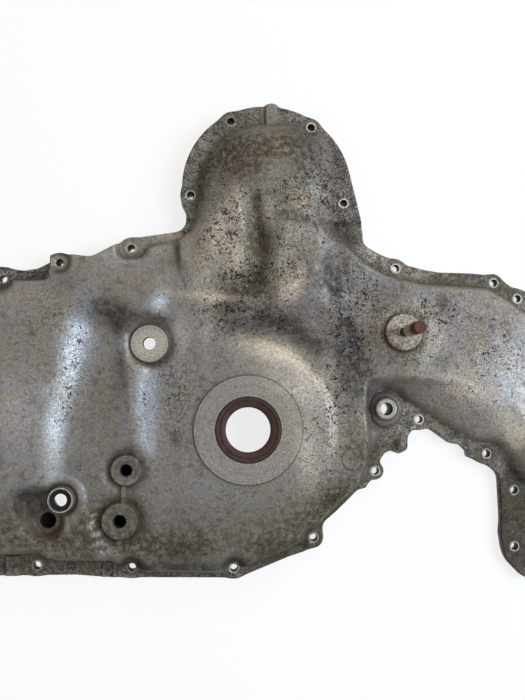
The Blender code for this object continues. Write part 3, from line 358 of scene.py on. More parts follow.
# Round bosses: x, y, face height, face radius, moat radius, moat depth
bosses = {
    "left": (-0.0928, 0.0808, 0.0345, 0.0174, 0.0250, 0.0050),
    "upper": (-0.1132, -0.0373, 0.0315, 0.0138, 0.0225, 0.0040),
    "lower": (-0.1187, -0.0843, 0.0300, 0.0163, 0.0290, 0.0055),
    "stud": (0.1506, 0.0930, 0.0360, 0.0178, 0.0220, 0.0010),
    "dowel": (0.1359, 0.0189, 0.0220, 0.0100, 0.0120, 0.0),
}
bossBores = {  # radius, and the height of the floor where the hole is blind
    "left": (0.0060, None),
    "upper": (0.0056, 0.0105),
    "lower": (0.0060, 0.0105),
    "dowel": (0.0060, None),
    "stud": (0.0043, 0.0202),
}
openBehind = {"left": (0.0075, 0.0104), "tube": 0.0122}  # where the bore opens out, and its radius there
tube = {
    "x": -0.1728,
    "y": -0.0642,
    "top": 0.0310,
    "radius": 0.0113,
    "bore": 0.0058,
    "mouth": 0.0100,
    "mouthDepth": 0.0016,
    "rise": 3.5,
}
socket = {"floor": 0.0255, "radius": 0.0140, "rise": 1.6, "lip": (0.0205, 0.0045, 0.0017)}
pit = {
    "x": -0.1862,
    "y": -0.0842,
    "top": 0.0190,
    "radius": 0.0118,
    "bore": 0.0072,
    "floor": 0.0075,
    "rise": 1.8,
}
pocket = {"floor": 0.0205, "radius": 0.0060, "rise": 1.3, "spines": (
    (-0.2010, -0.0680, -0.1880, -0.0660),
    (-0.2010, -0.0680, -0.1930, -0.0830),
    (-0.1960, -0.0720, -0.1880, -0.0760),
)}
dowelCone = {"drop": 0.0012, "slope": 0.75, "reach": 0.0300}
bossRibs = (  # upright ribs between the bosses: x, low end, high end, crown, half width
    (-0.1160, -0.0720, -0.0490, 0.0290, 0.0016),
    (-0.1215, -0.1180, -0.0980, 0.0275, 0.0022),
)
recess = {"x": 0.2859, "y": -0.0893, "floor": 0.0050, "radius": 0.0180}

wornRadii = (0.0047, 0.0055)  # rings of points where the bright ring round a bolt ends
postTops = 0.026              # about where the posts meet the skin

# Posts behind the bosses: x, y, height of their foot, radius
posts = (
    (-0.0928, 0.0808, 0.0000, 0.0120),
    (-0.1132, -0.0373, 0.0060, 0.0110),
    (-0.1187, -0.0843, 0.0060, 0.0115),
    (0.1506, 0.0930, 0.0120, 0.0110),
    (-0.1728, -0.0642, 0.0000, 0.0146),
    (-0.1853, -0.0838, 0.0030, 0.0120),
)

# Ribs on the inner side: two ends and the height of their edge
ribs = (
    (0.036, 0.0, 0.104, 0.012, 0.0160),
    (-0.020, 0.031, -0.062, 0.110, 0.0160),
    (-0.036, -0.008, -0.108, -0.040, 0.0160),
    (0.014, -0.034, 0.040, -0.108, 0.0160),
    (-0.175, -0.060, -0.268, 0.095, 0.0160),
    (0.152, 0.093, 0.262, 0.000, 0.0160),
)


def roundedLoop(corners, arcStep):
    # each corner becomes an arc; neighbours share the edge between them
    points = np.array([corner[:2] for corner in corners])
    count = len(points)
    wanted = []
    for i in range(count):
        back = points[i - 1] - points[i]
        ahead = points[(i + 1) % count] - points[i]
        cosine = float(back @ ahead) / (np.hypot(*back) * np.hypot(*ahead))
        turn = math.pi - math.acos(max(-1.0, min(1.0, cosine)))
        wanted.append((turn, corners[i][2] * math.tan(turn / 2)))
    loop = []
    for i in range(count):
        turn, reach = wanted[i]
        back = points[i - 1] - points[i]
        ahead = points[(i + 1) % count] - points[i]
        shareBack = np.hypot(*back) / (reach + wanted[i - 1][1] + 1e-9)
        shareAhead = np.hypot(*ahead) / (reach + wanted[(i + 1) % count][1] + 1e-9)
        tangent = reach * min(1.0, 0.99 * shareBack, 0.99 * shareAhead)
        back = back / np.hypot(*back)
        ahead = ahead / np.hypot(*ahead)
        if turn < 0.02:
            loop.append(points[i])
            continue
        radius = tangent / math.tan(turn / 2)
        inward = (back + ahead) / np.hypot(*(back + ahead))
        centre = points[i] + inward * (radius / math.cos(turn / 2))
        arm = points[i] + back * tangent - centre
        side = 1 if back[0] * ahead[1] - back[1] * ahead[0] < 0 else -1
        steps = max(2, math.ceil(radius * turn / arcStep))
        for k in range(steps + 1):
            c = math.cos(side * turn * k / steps)
            s = math.sin(side * turn * k / steps)
            loop.append(centre + np.array((arm[0] * c - arm[1] * s, arm[0] * s + arm[1] * c)))
    return np.array(loop)


def depthIn(loop, x, y):
    # distance to a closed loop, positive inside
    nearest = np.full(x.shape, 1e9)
    inside = np.zeros(x.shape, bool)
    for (x1, y1), (x2, y2) in zip(loop, np.roll(loop, -1, axis=0)):
        dx, dy = x2 - x1, y2 - y1
        px, py = x - x1, y - y1
        along = np.clip((px * dx + py * dy) / (dx * dx + dy * dy + 1e-18), 0, 1)
        nearest = np.minimum(nearest, (px - along * dx) ** 2 + (py - along * dy) ** 2)
        if dy != 0:
            way = 1 if dy > 0 else -1
            inside ^= ((y1 > y) != (y2 > y)) & (px * dy * way < py * dx * way)
    distance = np.sqrt(nearest)
    return np.where(inside, distance, -distance)


def softMin(a, b, blend):
    share = np.clip(0.5 + 0.5 * (b - a) / blend, 0, 1)
    return b * (1 - share) + a * share - blend * share * (1 - share)


def softMax(a, b, blend):
    return -softMin(-a, -b, blend)


def ease(low, high, value):
    t = np.clip((value - low) / (high - low), 0, 1)
    return t * t * (3 - 2 * t)


def fromBar(x, y, x1, y1, x2, y2):
    dx, dy = x2 - x1, y2 - y1
    along = np.clip(((x - x1) * dx + (y - y1) * dy) / (dx * dx + dy * dy + 1e-12), 0, 1)
    return np.hypot(x - x1 - along * dx, y - y1 - along * dy)


def fromPath(x, y, path):
    near = np.full(x.shape, 1.0)
    for (x1, y1), (x2, y2) in zip(path, path[1:]):
        near = np.minimum(near, fromBar(x, y, x1, y1, x2, y2))
    return near


def easedPath(path, rounds=3):
    points = np.array(path)
    for _ in range(rounds):
        a = points[:-1] * 0.75 + points[1:] * 0.25
        b = points[:-1] * 0.25 + points[1:] * 0.75
        points = np.vstack((points[:1], np.stack((a, b), axis=1).reshape(-1, 2), points[-1:]))
    return points


def beyondBox(x, y, lowX, lowY, highX, highY):
    return np.maximum(np.maximum(np.maximum(lowX - x, x - highX), np.maximum(lowY - y, y - highY)), 0)


outlineLoop = roundedLoop(outlineCorners, 0.003)
bodyLoop = roundedLoop(bodyCorners, 0.003)
grooveLine = easedPath(grooveCorners)


def edgeDepth(x, y):
    # distance inside the flange's outer edge, with the bolt ears blended in
    depth = depthIn(outlineLoop, x, y)
    for boltX, boltY, pad, ear, worn in bolts:
        depth = softMax(depth, ear - np.hypot(x - boltX, y - boltY), casting["earBlend"])
    for lugX, lugY, radius in lugs:
        depth = softMax(depth, radius - np.hypot(x - lugX, y - lugY), casting["earBlend"] / 2)
    return depth


def flangeHeight(x, y):
    form = flangeSteps
    share = form["domeShare"]
    right = share * ease(*form["domeRight"], y) + (1 - share) * ease(*form["domeSharp"], y)
    dome = np.where(x > 0, right, ease(*form["domeLeft"], y))
    step = ease(*form["upperLeft"], x) * ease(*form["upperLow"], y) * (1 - ease(*form["upperRight"], x))
    step = step * (1 - ease(*form["domeLeft"], y))
    return wingPad + (domePad - wingPad) * dome + (stepPad - wingPad) * step


def scoopShare(x, y):
    # 1 on the trough's floor, 0 outside the trough
    form = scoopForm
    left = np.interp(y, form["stations"], form["left"])
    right = np.interp(y, form["stations"], form["right"])
    across = (1 - ease(0, form["slopes"][0], left - x)) * (1 - ease(0, form["slopes"][1], x - right))
    return across * (1 - ease(*form["top"], y)) * (1 - ease(*form["end"], -y))


def bodyHeight(x, y):
    # top of the raised body before its side walls, bosses and pockets
    form = bodyForm
    radius = np.hypot(x, y)
    angle = np.degrees(np.arctan2(y, x))
    height = form["level"] - form["rightFall"] * ease(0.06, 0.14, x) - form["lowFall"] * ease(-0.02, -0.09, y)
    across = x - form["plateauShift"] * ease(0.085, 0.115, y)
    plateau = (1 - ease(*form["plateauEdge"], across)) * ease(*form["plateauFade"], y)
    height = height + form["plateauRise"] * plateau
    height = height - form["endFall"] * ease(0.235, 0.320, x)
    height = height - scoopForm["depth"] * scoopShare(x, y)
    for x1, y1, x2, y2, flat, foot, rise in swells:
        height = height + rise * (1 - ease(flat, foot, fromBar(x, y, x1, y1, x2, y2)))
    cone = heights["sealFace"] - form["coneDrop"] - form["coneSlope"] * (radius - sealSizes["faceRing"] / 2)
    shoulder = ease(*form["shoulderTurns"][:2], angle) * (1 - ease(*form["shoulderTurns"][2:], angle))
    cone = cone - form["shoulderDrop"] * shoulder * ease(*form["shoulderRadii"], radius)
    height = softMax(height, cone, form["blend"])
    near = fromPath(x, y, grooveLine)
    deeper = groove["lowShare"] + (1 - groove["lowShare"]) * ease(*groove["deepens"], y)
    height = height - groove["depth"] * deeper * (1 - ease(0, groove["reach"], near)) ** groove["sharpness"]
    panel = form["panelHeight"] - form["panelFall"] * (y - np.interp(x, form["panelX"], form["panelY"]))
    lobe = 1 - ease(*form["panelLobeReach"], fromBar(x, y, *form["panelLobe"]))
    clear = np.maximum.reduce([lobe, ease(*form["panelEnd"], x), ease(*form["panelTop"], y)])
    return softMin(height, panel + farAbove * clear, form["blend"])


def pockets(x, y, height):
    # the tube's socket with its raised lip, the sunk boss and the pocket beside it
    near = np.hypot(x - tube["x"], y - tube["y"])
    angle = np.degrees(np.arctan2(y - tube["y"], x - tube["x"]))
    radius, half, rise = socket["lip"]
    lip = (1 - ease(0, half, np.abs(near - radius))) * ease(-75, -30, angle) * (1 - ease(80, 120, angle))
    height = height + rise * lip
    height = softMin(height, socket["floor"] + socket["rise"] * np.maximum(near - socket["radius"], 0), 0.002)
    near = np.minimum.reduce([fromBar(x, y, *spine) for spine in pocket["spines"]])
    height = softMin(height, pocket["floor"] + pocket["rise"] * np.maximum(near - pocket["radius"], 0), 0.003)
    near = np.hypot(x - pit["x"], y - pit["y"])
    return softMin(height, pit["top"] + pit["rise"] * np.maximum(near - pit["radius"], 0), 0.002)


def notchShare(x, y, left):
    # 1 above the notch in the lower edge, 0 elsewhere
    return ease(*left, x) * (1 - ease(*casting["notchTop"], y)) * (1 - ease(*casting["notchRight"], x))


def frontHeight(x, y):
    flange = flangeHeight(x, y)
    dome = ease(*casting["domeStarts"], y)
    notch = notchShare(x, y, casting["notchLeft"])
    inside = depthIn(bodyLoop, x, y)
    rise = casting["sideRise"] - casting["domeGentle"] * dome - casting["notchGentle"] * notch
    rounding = casting["edgeRound"] + casting["domeRound"] * dome
    height = softMin(bodyHeight(x, y), flange + rise * inside, rounding)
    apron = casting["apron"][0] + casting["apron"][1] * inside + farAbove * (1 - notch)
    height = softMin(height, apron, casting["apronBlend"])
    for bossX, bossY, face, radius, moat, deep in bosses.values():
        away = np.hypot(x - bossX, y - bossY)
        height = height - deep * (1 - ease(radius, moat + 0.004, away))
    height = pockets(x, y, height)
    for bossX, bossY, face, radius, moat, deep in bosses.values():
        away = np.hypot(x - bossX, y - bossY)
        side = face - casting["bossRise"] * np.maximum(away - radius, 0)
        height = np.where(away < radius, face, softMax(height, side, casting["bossBlend"]))
    for ribX, low, high, crown, half in bossRibs:
        near = fromBar(x, y, ribX, low, ribX, high)
        height = softMax(height, crown - 2.2 * np.maximum(near - half, 0), 0.0015)
    near = np.hypot(x - tube["x"], y - tube["y"])
    height = np.maximum(height, tube["top"] - tube["rise"] * np.maximum(near - tube["radius"], 0))
    height = np.where(np.hypot(x, y) < sealSizes["faceRing"] / 2, heights["sealFace"], height)
    for boltX, boltY, pad, ear, worn in bolts:
        away = np.hypot(x - boltX, y - boltY)
        side = pad + casting["clearingRise"] * np.maximum(away - casting["boltClearing"], 0)
        height = softMin(height, side, casting["clearingBlend"])
    height = softMax(height, flange, casting["footFillet"])
    return smallForms(x, y, height)


def smallForms(x, y, height):
    # the dowel boss's cone, the lumps, the pads, the ejector mark and the end pocket
    bossX, bossY, face, radius = bosses["dowel"][:4]
    away = np.hypot(x - bossX, y - bossY)
    cone = face - dowelCone["drop"] - dowelCone["slope"] * (away - radius)
    cone = cone - face * ease(0.5 * dowelCone["reach"], dowelCone["reach"], away)
    height = np.where(away < radius, height, softMax(height, cone, 0.004))
    for lumpX, lumpY, radius, top in lumps:
        away = np.hypot(x - lumpX, y - lumpY)
        height = softMax(height, top - (top - wingPad) * (away / radius) ** 2, 0.0012)
    for lowX, lowY, highX, highY, crown in pads:
        out = beyondBox(x, y, lowX, lowY, highX, highY)
        height = np.maximum(height, crown - 3.0 * out)
    out = beyondBox(x, y, *wingBar[:4])
    height = height + np.maximum(wingBar[4] - 3.0 * out, 0)
    near = np.hypot(x - ejector["x"], y - ejector["y"])
    height = height + np.clip(ejector["rise"] - 1.0 * (near - ejector["radius"]), 0, ejector["rise"])
    near = np.hypot(x - recess["x"], y - recess["y"])
    return softMin(height, recess["floor"] + 3.0 * np.maximum(near - recess["radius"], 0), 0.0012)


def rimDepth(x, y):
    rim = depthIn(bodyLoop, x, y) - 1.05 * casting["wall"]
    rim = np.minimum(rim, edgeDepth(x, y) - 0.010)
    for boltX, boltY, pad, ear, worn in bolts:
        rim = np.minimum(rim, np.hypot(x - boltX, y - boltY) - casting["boltPost"])
    return rim


def easedDown(field, reach):
    # a smoother field that nowhere rises over the first one
    steps = range(-reach, reach + 1)
    for axis in (0, 1):
        field = np.minimum.reduce([np.roll(field, k, axis=axis) for k in steps])
    for axis in (0, 1):
        field = np.mean([np.roll(field, k, axis=axis) for k in steps], axis=0)
    return field


def sampled(xs, ys, field, x, y):
    # value of a gridded field between its points
    u = (x - xs[0]) / (xs[1] - xs[0])
    v = (y - ys[0]) / (ys[1] - ys[0])
    j = np.clip(u.astype(int), 0, len(xs) - 2)
    i = np.clip(v.astype(int), 0, len(ys) - 2)
    u, v = u - j, v - i
    low = field[i, j] * (1 - u) + field[i, j + 1] * u
    high = field[i + 1, j] * (1 - u) + field[i + 1, j + 1] * u
    return low * (1 - v) + high * v


def backHeight(x, y, ceiling):
    height = np.minimum(ceiling, casting["cavityRise"] * rimDepth(x, y))
    for postX, postY, foot, radius in posts:
        away = np.hypot(x - postX, y - postY)
        height = np.minimum(height, foot + casting["postRise"] * np.maximum(away - radius, 0))
    for x1, y1, x2, y2, edge in ribs:
        near = fromBar(x, y, x1, y1, x2, y2)
        out = np.maximum(near - casting["ribThickness"] / 2, 0)
        height = np.minimum(height, edge + casting["ribRise"] * out)
    away = np.hypot(x, y) - sealSizes["housing"] / 2
    height = np.minimum(height, heights["housingBottom"] + casting["ribRise"] * np.maximum(away, 0))
    return np.maximum(height, 0.0)


def levelLine(xs, ys, field):
    # the closed line where a field is zero, walked from cell to cell
    inside = field > 0
    links = {}

    def crossing(a, b):
        share = field[a] / (field[a] - field[b])
        here = np.array((xs[a[1]], ys[a[0]]))
        there = np.array((xs[b[1]], ys[b[0]]))
        return here * (1 - share) + there * share

    mixed = inside[:-1, :-1].astype(int) + inside[1:, :-1] + inside[:-1, 1:] + inside[1:, 1:]
    for i, j in zip(*np.nonzero((mixed > 0) & (mixed < 4))):
        corners = [(i, j), (i, j + 1), (i + 1, j + 1), (i + 1, j)]
        leaving = None
        entering = None
        for a, b in zip(corners, corners[1:] + corners[:1]):
            if inside[a] and not inside[b]:
                leaving = (a, b)
            if inside[b] and not inside[a]:
                entering = (b, a)
        links[leaving] = entering
    loops = []
    while links:
        key = min(links, key=lambda k: k[0][1] * 10000 + k[0][0])
        loop = []
        while key in links:
            loop.append(crossing(*key))
            key = links.pop(key)
        loops.append(np.array(loop))
    return loops


def spaced(loop, step):
    # the same closed line with its points evenly spaced
    closed = np.vstack((loop, loop[:1]))
    lengths = np.hypot(*np.diff(closed, axis=0).T)
    along = np.concatenate(((0,), np.cumsum(lengths)))
    count = max(8, round(along[-1] / step))
    stations = np.arange(count) * along[-1] / count
    return np.stack([np.interp(stations, along, closed[:, axis]) for axis in (0, 1)], axis=1)


def ringsRound(x, y, radius, gaps, count):
    return [circle(x, y, radius + gap, count) for gap in gaps]


def circle(x, y, radius, count):
    turns = np.arange(count) * (2 * math.pi / count)
    return np.stack((x + radius * np.cos(turns), y + radius * np.sin(turns)), axis=1)


class PointField:
    # points kept apart by a least distance, the first ones first
    def __init__(self, apart):
        self.apart = apart
        self.cells = {}
        self.points = []

    def add(self, points, apart=None, force=False):
        apart = apart or self.apart
        for px, py in points:
            i, j = int(math.floor(px / self.apart)), int(math.floor(py / self.apart))
            reach = math.ceil(apart / self.apart)
            clear = True
            if not force:
                for di in range(-reach, reach + 1):
                    for dj in range(-reach, reach + 1):
                        for qx, qy in self.cells.get((i + di, j + dj), ()):
                            if (px - qx) ** 2 + (py - qy) ** 2 < apart * apart:
                                clear = False
            if clear:
                self.cells.setdefault((i, j), []).append((px, py))
                self.points.append((px, py))


def skinOf(loops, free):
    # triangles over free points and fixed loops: the outer edge first, then the holes
    allPoints = np.vstack(list(loops) + [free])
    owner = np.full(len(allPoints), -1)
    edges = []
    start = 0
    for k, loop in enumerate(loops):
        edges += [(start + i, start + (i + 1) % len(loop)) for i in range(len(loop))]
        owner[start:start + len(loop)] = k
        start += len(loop)
    result = delaunay_2d_cdt([Vector(p) for p in allPoints.tolist()], edges, [], 1, 1e-7)
    origin = [ids[0] if ids else None for ids in result[3]]
    faces = [tuple(origin[v] for v in face) for face in result[2]]
    faces = np.array([face for face in faces if None not in face])
    owners = owner[faces]
    inHole = (owners[:, 0] > 0) & (owners[:, 0] == owners[:, 1]) & (owners[:, 0] == owners[:, 2])
    return allPoints, faces[~inHole]


def wallBetween(above, below):
    count = len(above)
    return [(above[i], above[(i + 1) % count], below[(i + 1) % count], below[i]) for i in range(count)]


def keptFree(points, holes, gap):
    # the points that lie clear of every hole
    clear = np.ones(len(points), bool)
    for holeX, holeY, radius in holes:
        clear &= np.hypot(points[:, 0] - holeX, points[:, 1] - holeY) > radius + gap
    return points[clear]


def levelRings(grid, field, levels, shortest, step):
    # evenly spaced points along the lines where a field takes each level
    rings = []
    for level in levels:
        for loop in levelLine(grid["xs"], grid["ys"], field - level):
            if len(loop) > shortest:
                rings.append(spaced(loop, step))
    return rings


def makeWells():
    # every hole: the steps of its wall from the front, and its radius at the back where it goes through
    chamfer = casting["boreChamfer"]
    wells = []
    for boltX, boltY, pad, ear, worn in bolts:
        r = casting["boltBore"] / 2
        steps = [(r + chamfer, pad), (r, pad - chamfer)]
        wells.append({"x": boltX, "y": boltY, "sides": 24, "steps": steps, "back": r})
    for name, (r, floor) in bossBores.items():
        bossX, bossY, face = bosses[name][:3]
        steps = [(r + chamfer, face), (r, face - chamfer)]
        well = {"x": bossX, "y": bossY, "sides": 32, "steps": steps, "back": r}
        if floor is not None:
            well["steps"].append((r, floor))
            well["back"] = None
        elif name in openBehind:
            narrow, wide = openBehind[name]
            well["steps"] += [(r, face - narrow), (wide, face - narrow - 0.0015)]
            well["back"] = wide
        wells.append(well)
    seat = heights["sealFace"] - sealSizes["depth"]
    seatRadius, shoulderRadius = sealSizes["seat"] / 2, sealSizes["shoulderBore"] / 2
    wells.append({"x": 0, "y": 0, "sides": 112, "back": shoulderRadius, "steps": [
        (seatRadius + chamfer, heights["sealFace"]),
        (seatRadius, heights["sealFace"] - chamfer),
        (seatRadius, seat),
        (shoulderRadius, seat),
    ]})
    mouth = tube["top"] - tube["mouthDepth"]
    wells.append({"x": tube["x"], "y": tube["y"], "sides": 40, "back": openBehind["tube"], "steps": [
        (tube["mouth"] + 0.0003, tube["top"]),
        (tube["mouth"] - 0.0004, mouth),
        (tube["bore"], mouth - 0.0006),
        (tube["bore"], mouth - 0.0024),
        (openBehind["tube"], mouth - 0.0036),
    ]})
    wells.append({"x": pit["x"], "y": pit["y"], "sides": 32, "back": None, "steps": [
        (pit["bore"] + 0.0008, pit["top"]),
        (pit["bore"], pit["top"] - 0.0010),
        (pit["bore"], pit["floor"]),
    ]})
    return wells


def frontRings(grid):
    # points along every crisp form of the front
    rings = levelRings(grid, grid["depth"], (0.0003, 0.0006, 0.0011, 0.0018), 200, 0.0018)
    bossGaps = (-0.0012, -0.0002, 0.00002, 0.0006, 0.0014, 0.0024, 0.0036)
    for bossX, bossY, face, radius, moat, deep in bosses.values():
        rings += ringsRound(bossX, bossY, radius, bossGaps, 84)
    faceGaps = (-0.0008, -0.00002, 0.0003, 0.0010, 0.0020)
    rings += ringsRound(0, 0, sealSizes["faceRing"] / 2, faceGaps, 220)
    tubeGaps = (-0.0006, 0.0, 0.0005, 0.0012, 0.0022, 0.0034)
    rings += ringsRound(tube["x"], tube["y"], tube["radius"], tubeGaps, 60)
    rings += ringsRound(pit["x"], pit["y"], pit["radius"], (-0.0006, 0.0004, 0.0014), 60)
    for boltX, boltY, pad, ear, worn in bolts:
        rings += ringsRound(boltX, boltY, 0, wornRadii, 40)
        rings += ringsRound(boltX, boltY, casting["boltClearing"], (-0.0006, 0.0004, 0.0016), 40)
    rings += ringsRound(ejector["x"], ejector["y"], ejector["radius"], (0.0, ejector["rise"]), 60)
    for lowX, lowY, highX, highY, crown in list(pads) + [wingBar]:
        for gap in (0.0, 0.0006, 0.0016):
            left, right, bottom, top = lowX - gap, highX + gap, lowY - gap, highY + gap
            corners = np.array(((left, bottom), (right, bottom), (right, top), (left, top)))
            rings.append(spaced(corners, 0.0010))
    footGaps = (-0.0012, -0.0004, 0.0004, 0.0012, 0.0022, 0.0034, 0.0048, 0.0064)
    return rings + levelRings(grid, grid["body"], footGaps, 60, 0.0014)


def backRings(grid):
    # points along the cavity's rim, the posts, the seal's housing and the ribs
    rings = levelRings(grid, grid["rim"], (0.0, 0.0008, 0.004, 0.0075), 40, 0.0024)
    for postX, postY, foot, radius in posts:
        postGaps = (-0.0004, 0.0003, 0.0014, (postTops - foot) / casting["postRise"])
        rings += ringsRound(postX, postY, radius, postGaps, 40)
    rings += ringsRound(0, 0, sealSizes["housing"] / 2, (-0.0003, 0.0004, 0.0018), 120)
    for x1, y1, x2, y2, edge in ribs:
        side = np.array((y1 - y2, x2 - x1)) / math.hypot(x2 - x1, y2 - y1)
        for gap in (0.0, 0.0012, 0.0030):
            out = casting["ribThickness"] / 2 + gap
            for share in np.linspace(0, 1, 50):
                middle = np.array((x1, y1)) * (1 - share) + np.array((x2, y2)) * share
                rings.append(np.array((middle + side * out, middle - side * out)))
    return rings


def skinOver(loops, holes, rings, gridPoints, gaps):
    # a skin on its fixed loops, then on rings along crisp forms, then on the grid
    field = PointField(gaps["apart"])
    for loop in loops:
        field.add(loop, force=True)
    fixed = len(field.points)
    for ring in rings:
        field.add(ring[edgeDepth(ring[:, 0], ring[:, 1]) > gaps["edge"]])
    field.add(gridPoints, apart=gaps["grid"])
    return skinOf(loops, keptFree(np.array(field.points[fixed:]), holes, gaps["hole"]))


def frontSkin(grid, outline, wells):
    step = casting["grid"]
    bend = np.zeros(grid["front"].shape)
    for axis in (0, 1):
        slope = np.gradient(grid["front"], step, axis=axis)
        bend = np.maximum(bend, np.abs(np.gradient(slope, step, axis=axis)))
    bend = np.maximum.reduce([np.roll(bend, (a, b), axis=(0, 1)) for a in (-1, 0, 1) for b in (-1, 0, 1)])
    rows, columns = np.nonzero(grid["depth"] > 0.0012)
    coarse = casting["coarse"]
    lattice = (rows % coarse == 0) & (columns % coarse == 0)
    bent = bend[rows, columns]
    everySecond = (bent > casting["gentleBend"]) & ((rows + columns) % 2 == 0)
    wanted = lattice | (bent > casting["sharpBend"]) | everySecond
    gridPoints = np.stack((grid["xs"][columns[wanted]], grid["ys"][rows[wanted]]), axis=1)
    holes = [(w["x"], w["y"], w["steps"][0][0]) for w in wells]
    loops = [outline] + [circle(*hole, w["sides"]) for hole, w in zip(holes, wells)]
    gaps = {"apart": 0.0004, "edge": 0.00028, "grid": 0.0009, "hole": 0.0003}
    points, faces = skinOver(loops, holes, frontRings(grid), gridPoints, gaps)
    z = frontHeight(points[:, 0], points[:, 1])
    inset = edgeDepth(points[:, 0], points[:, 1])
    r = casting["rimRound"]
    drop = r - np.sqrt(np.maximum(r * r - np.clip(r - inset, 0, r) ** 2, 0))
    drop[:len(outline)] = r
    z = z - drop
    start = len(outline)
    for w in wells:
        z[start:start + w["sides"]] = w["steps"][0][1]
        start += w["sides"]
    print("front skin", len(points), "points", len(faces), "faces")
    return np.column_stack((points, z)), faces


def backSkin(grid, outline, through):
    # the same outline and the through holes, on a coarser grid
    rows, columns = np.nonzero(grid["depth"] > 0.0015)
    wanted = (rows % 2 == 0) & (columns % 2 == 0)
    gridPoints = np.stack((grid["xs"][columns[wanted]], grid["ys"][rows[wanted]]), axis=1)
    holes = [(w["x"], w["y"], w["back"]) for w in through]
    loops = [outline] + [circle(*hole, w["sides"]) for hole, w in zip(holes, through)]
    gaps = {"apart": 0.0005, "edge": 0.0012, "grid": 0.0012, "hole": 0.0004}
    points, faces = skinOver(loops, holes, backRings(grid), gridPoints, gaps)
    ceiling = sampled(grid["xs"], grid["ys"], grid["ceiling"], points[:, 0], points[:, 1])
    z = backHeight(points[:, 0], points[:, 1], ceiling)
    z[:len(outline)] = 0.0
    print("back skin", len(points), "points", len(faces), "faces")
    return np.column_stack((points, z)), faces


def closedShell(frontPoints, frontFaces, backPoints, backFaces, edgeCount, wells):
    # both skins with the outer wall and the walls of the holes between them
    verts = [frontPoints, backPoints]
    base = len(frontPoints)
    total = base + len(backPoints)
    faces = [tuple(int(v) for v in face) for face in frontFaces]
    faces += [tuple(int(v) + base for v in face[::-1]) for face in backFaces]
    for i in range(edgeCount):
        j = (i + 1) % edgeCount
        faces.append((i, base + i, base + j, j))
    frontStart = edgeCount
    backStart = base + edgeCount
    for w in wells:
        sides = w["sides"]
        ringAbove = [frontStart + i for i in range(sides)]
        frontStart += sides
        for radius, z in w["steps"][1:]:
            ring = circle(w["x"], w["y"], radius, sides)
            verts.append(np.column_stack((ring, np.full(sides, z))))
            ringBelow = [total + i for i in range(sides)]
            total += sides
            faces += wallBetween(ringAbove, ringBelow)
            ringAbove = ringBelow
        if w["back"]:
            ringBelow = [backStart + i for i in range(sides)]
            backStart += sides
            faces += wallBetween(ringAbove, ringBelow)
        else:
            floor = w["steps"][-1][1]
            verts.append(np.array(((w["x"], w["y"], floor - 0.0008),)))
            faces += [(ringAbove[i], ringAbove[(i + 1) % sides], total) for i in range(sides)]
            total += 1
    return np.vstack(verts), faces


def makeCasting():
    step = casting["grid"]
    margin = 4 * step
    low = outlineLoop.min(axis=0) - margin
    high = outlineLoop.max(axis=0) + margin
    xs = np.arange(low[0], high[0], step)
    ys = np.arange(low[1], high[1], step)
    x, y = np.meshgrid(xs, ys)
    front = frontHeight(x, y)
    grid = {
        "xs": xs,
        "ys": ys,
        "depth": edgeDepth(x, y),
        "front": front,
        "ceiling": easedDown(front, round(casting["cavityEase"] / step)) - casting["wall"],
        "body": depthIn(bodyLoop, x, y),
        "rim": rimDepth(x, y),
    }
    print("fields ready", front.shape)

    outline = spaced(max(levelLine(xs, ys, grid["depth"]), key=len), 0.0018)
    wells = makeWells()
    frontPoints, frontFaces = frontSkin(grid, outline, wells)
    backPoints, backFaces = backSkin(grid, outline, [w for w in wells if w["back"]])
    skins = (frontPoints, frontFaces, backPoints, backFaces)
    points, faces = closedShell(*skins, len(outline), wells)
    shading = paintOf(points, xs, ys, front, len(frontPoints), len(frontPoints) + len(backPoints))
    points[:, 0] += crankX
    points[:, 1] += crankY
    mesh = bpy.data.meshes.new("coverCasting")
    mesh.from_pydata(points.tolist(), [], faces)
    for name, values in shading.items():
        layer = mesh.attributes.new(name, "FLOAT", "POINT")
        layer.data.foreach_set("value", values.astype(np.float32))
    piece = bpy.data.objects.new("weatheredCover", mesh)
    bpy.context.scene.collection.objects.link(piece)
    bpy.ops.object.select_all(action="DESELECT")
    bpy.context.view_layer.objects.active = piece
    piece.select_set(True)
    bpy.ops.object.mode_set(mode="EDIT")
    bpy.ops.mesh.select_all(action="SELECT")
    bpy.ops.mesh.normals_make_consistent(inside=False)
    bpy.ops.object.mode_set(mode="OBJECT")
    bpy.ops.object.shade_smooth_by_angle(angle=math.radians(38))
    check = bmesh.new()
    check.from_mesh(mesh)
    openEdges = [e for e in check.edges if len(e.link_faces) != 2]
    volume = round(check.calc_volume() * 1e6, 1)
    print("casting", len(mesh.polygons), "faces, open edges", len(openEdges), "volume", volume)
    check.free()
    return piece


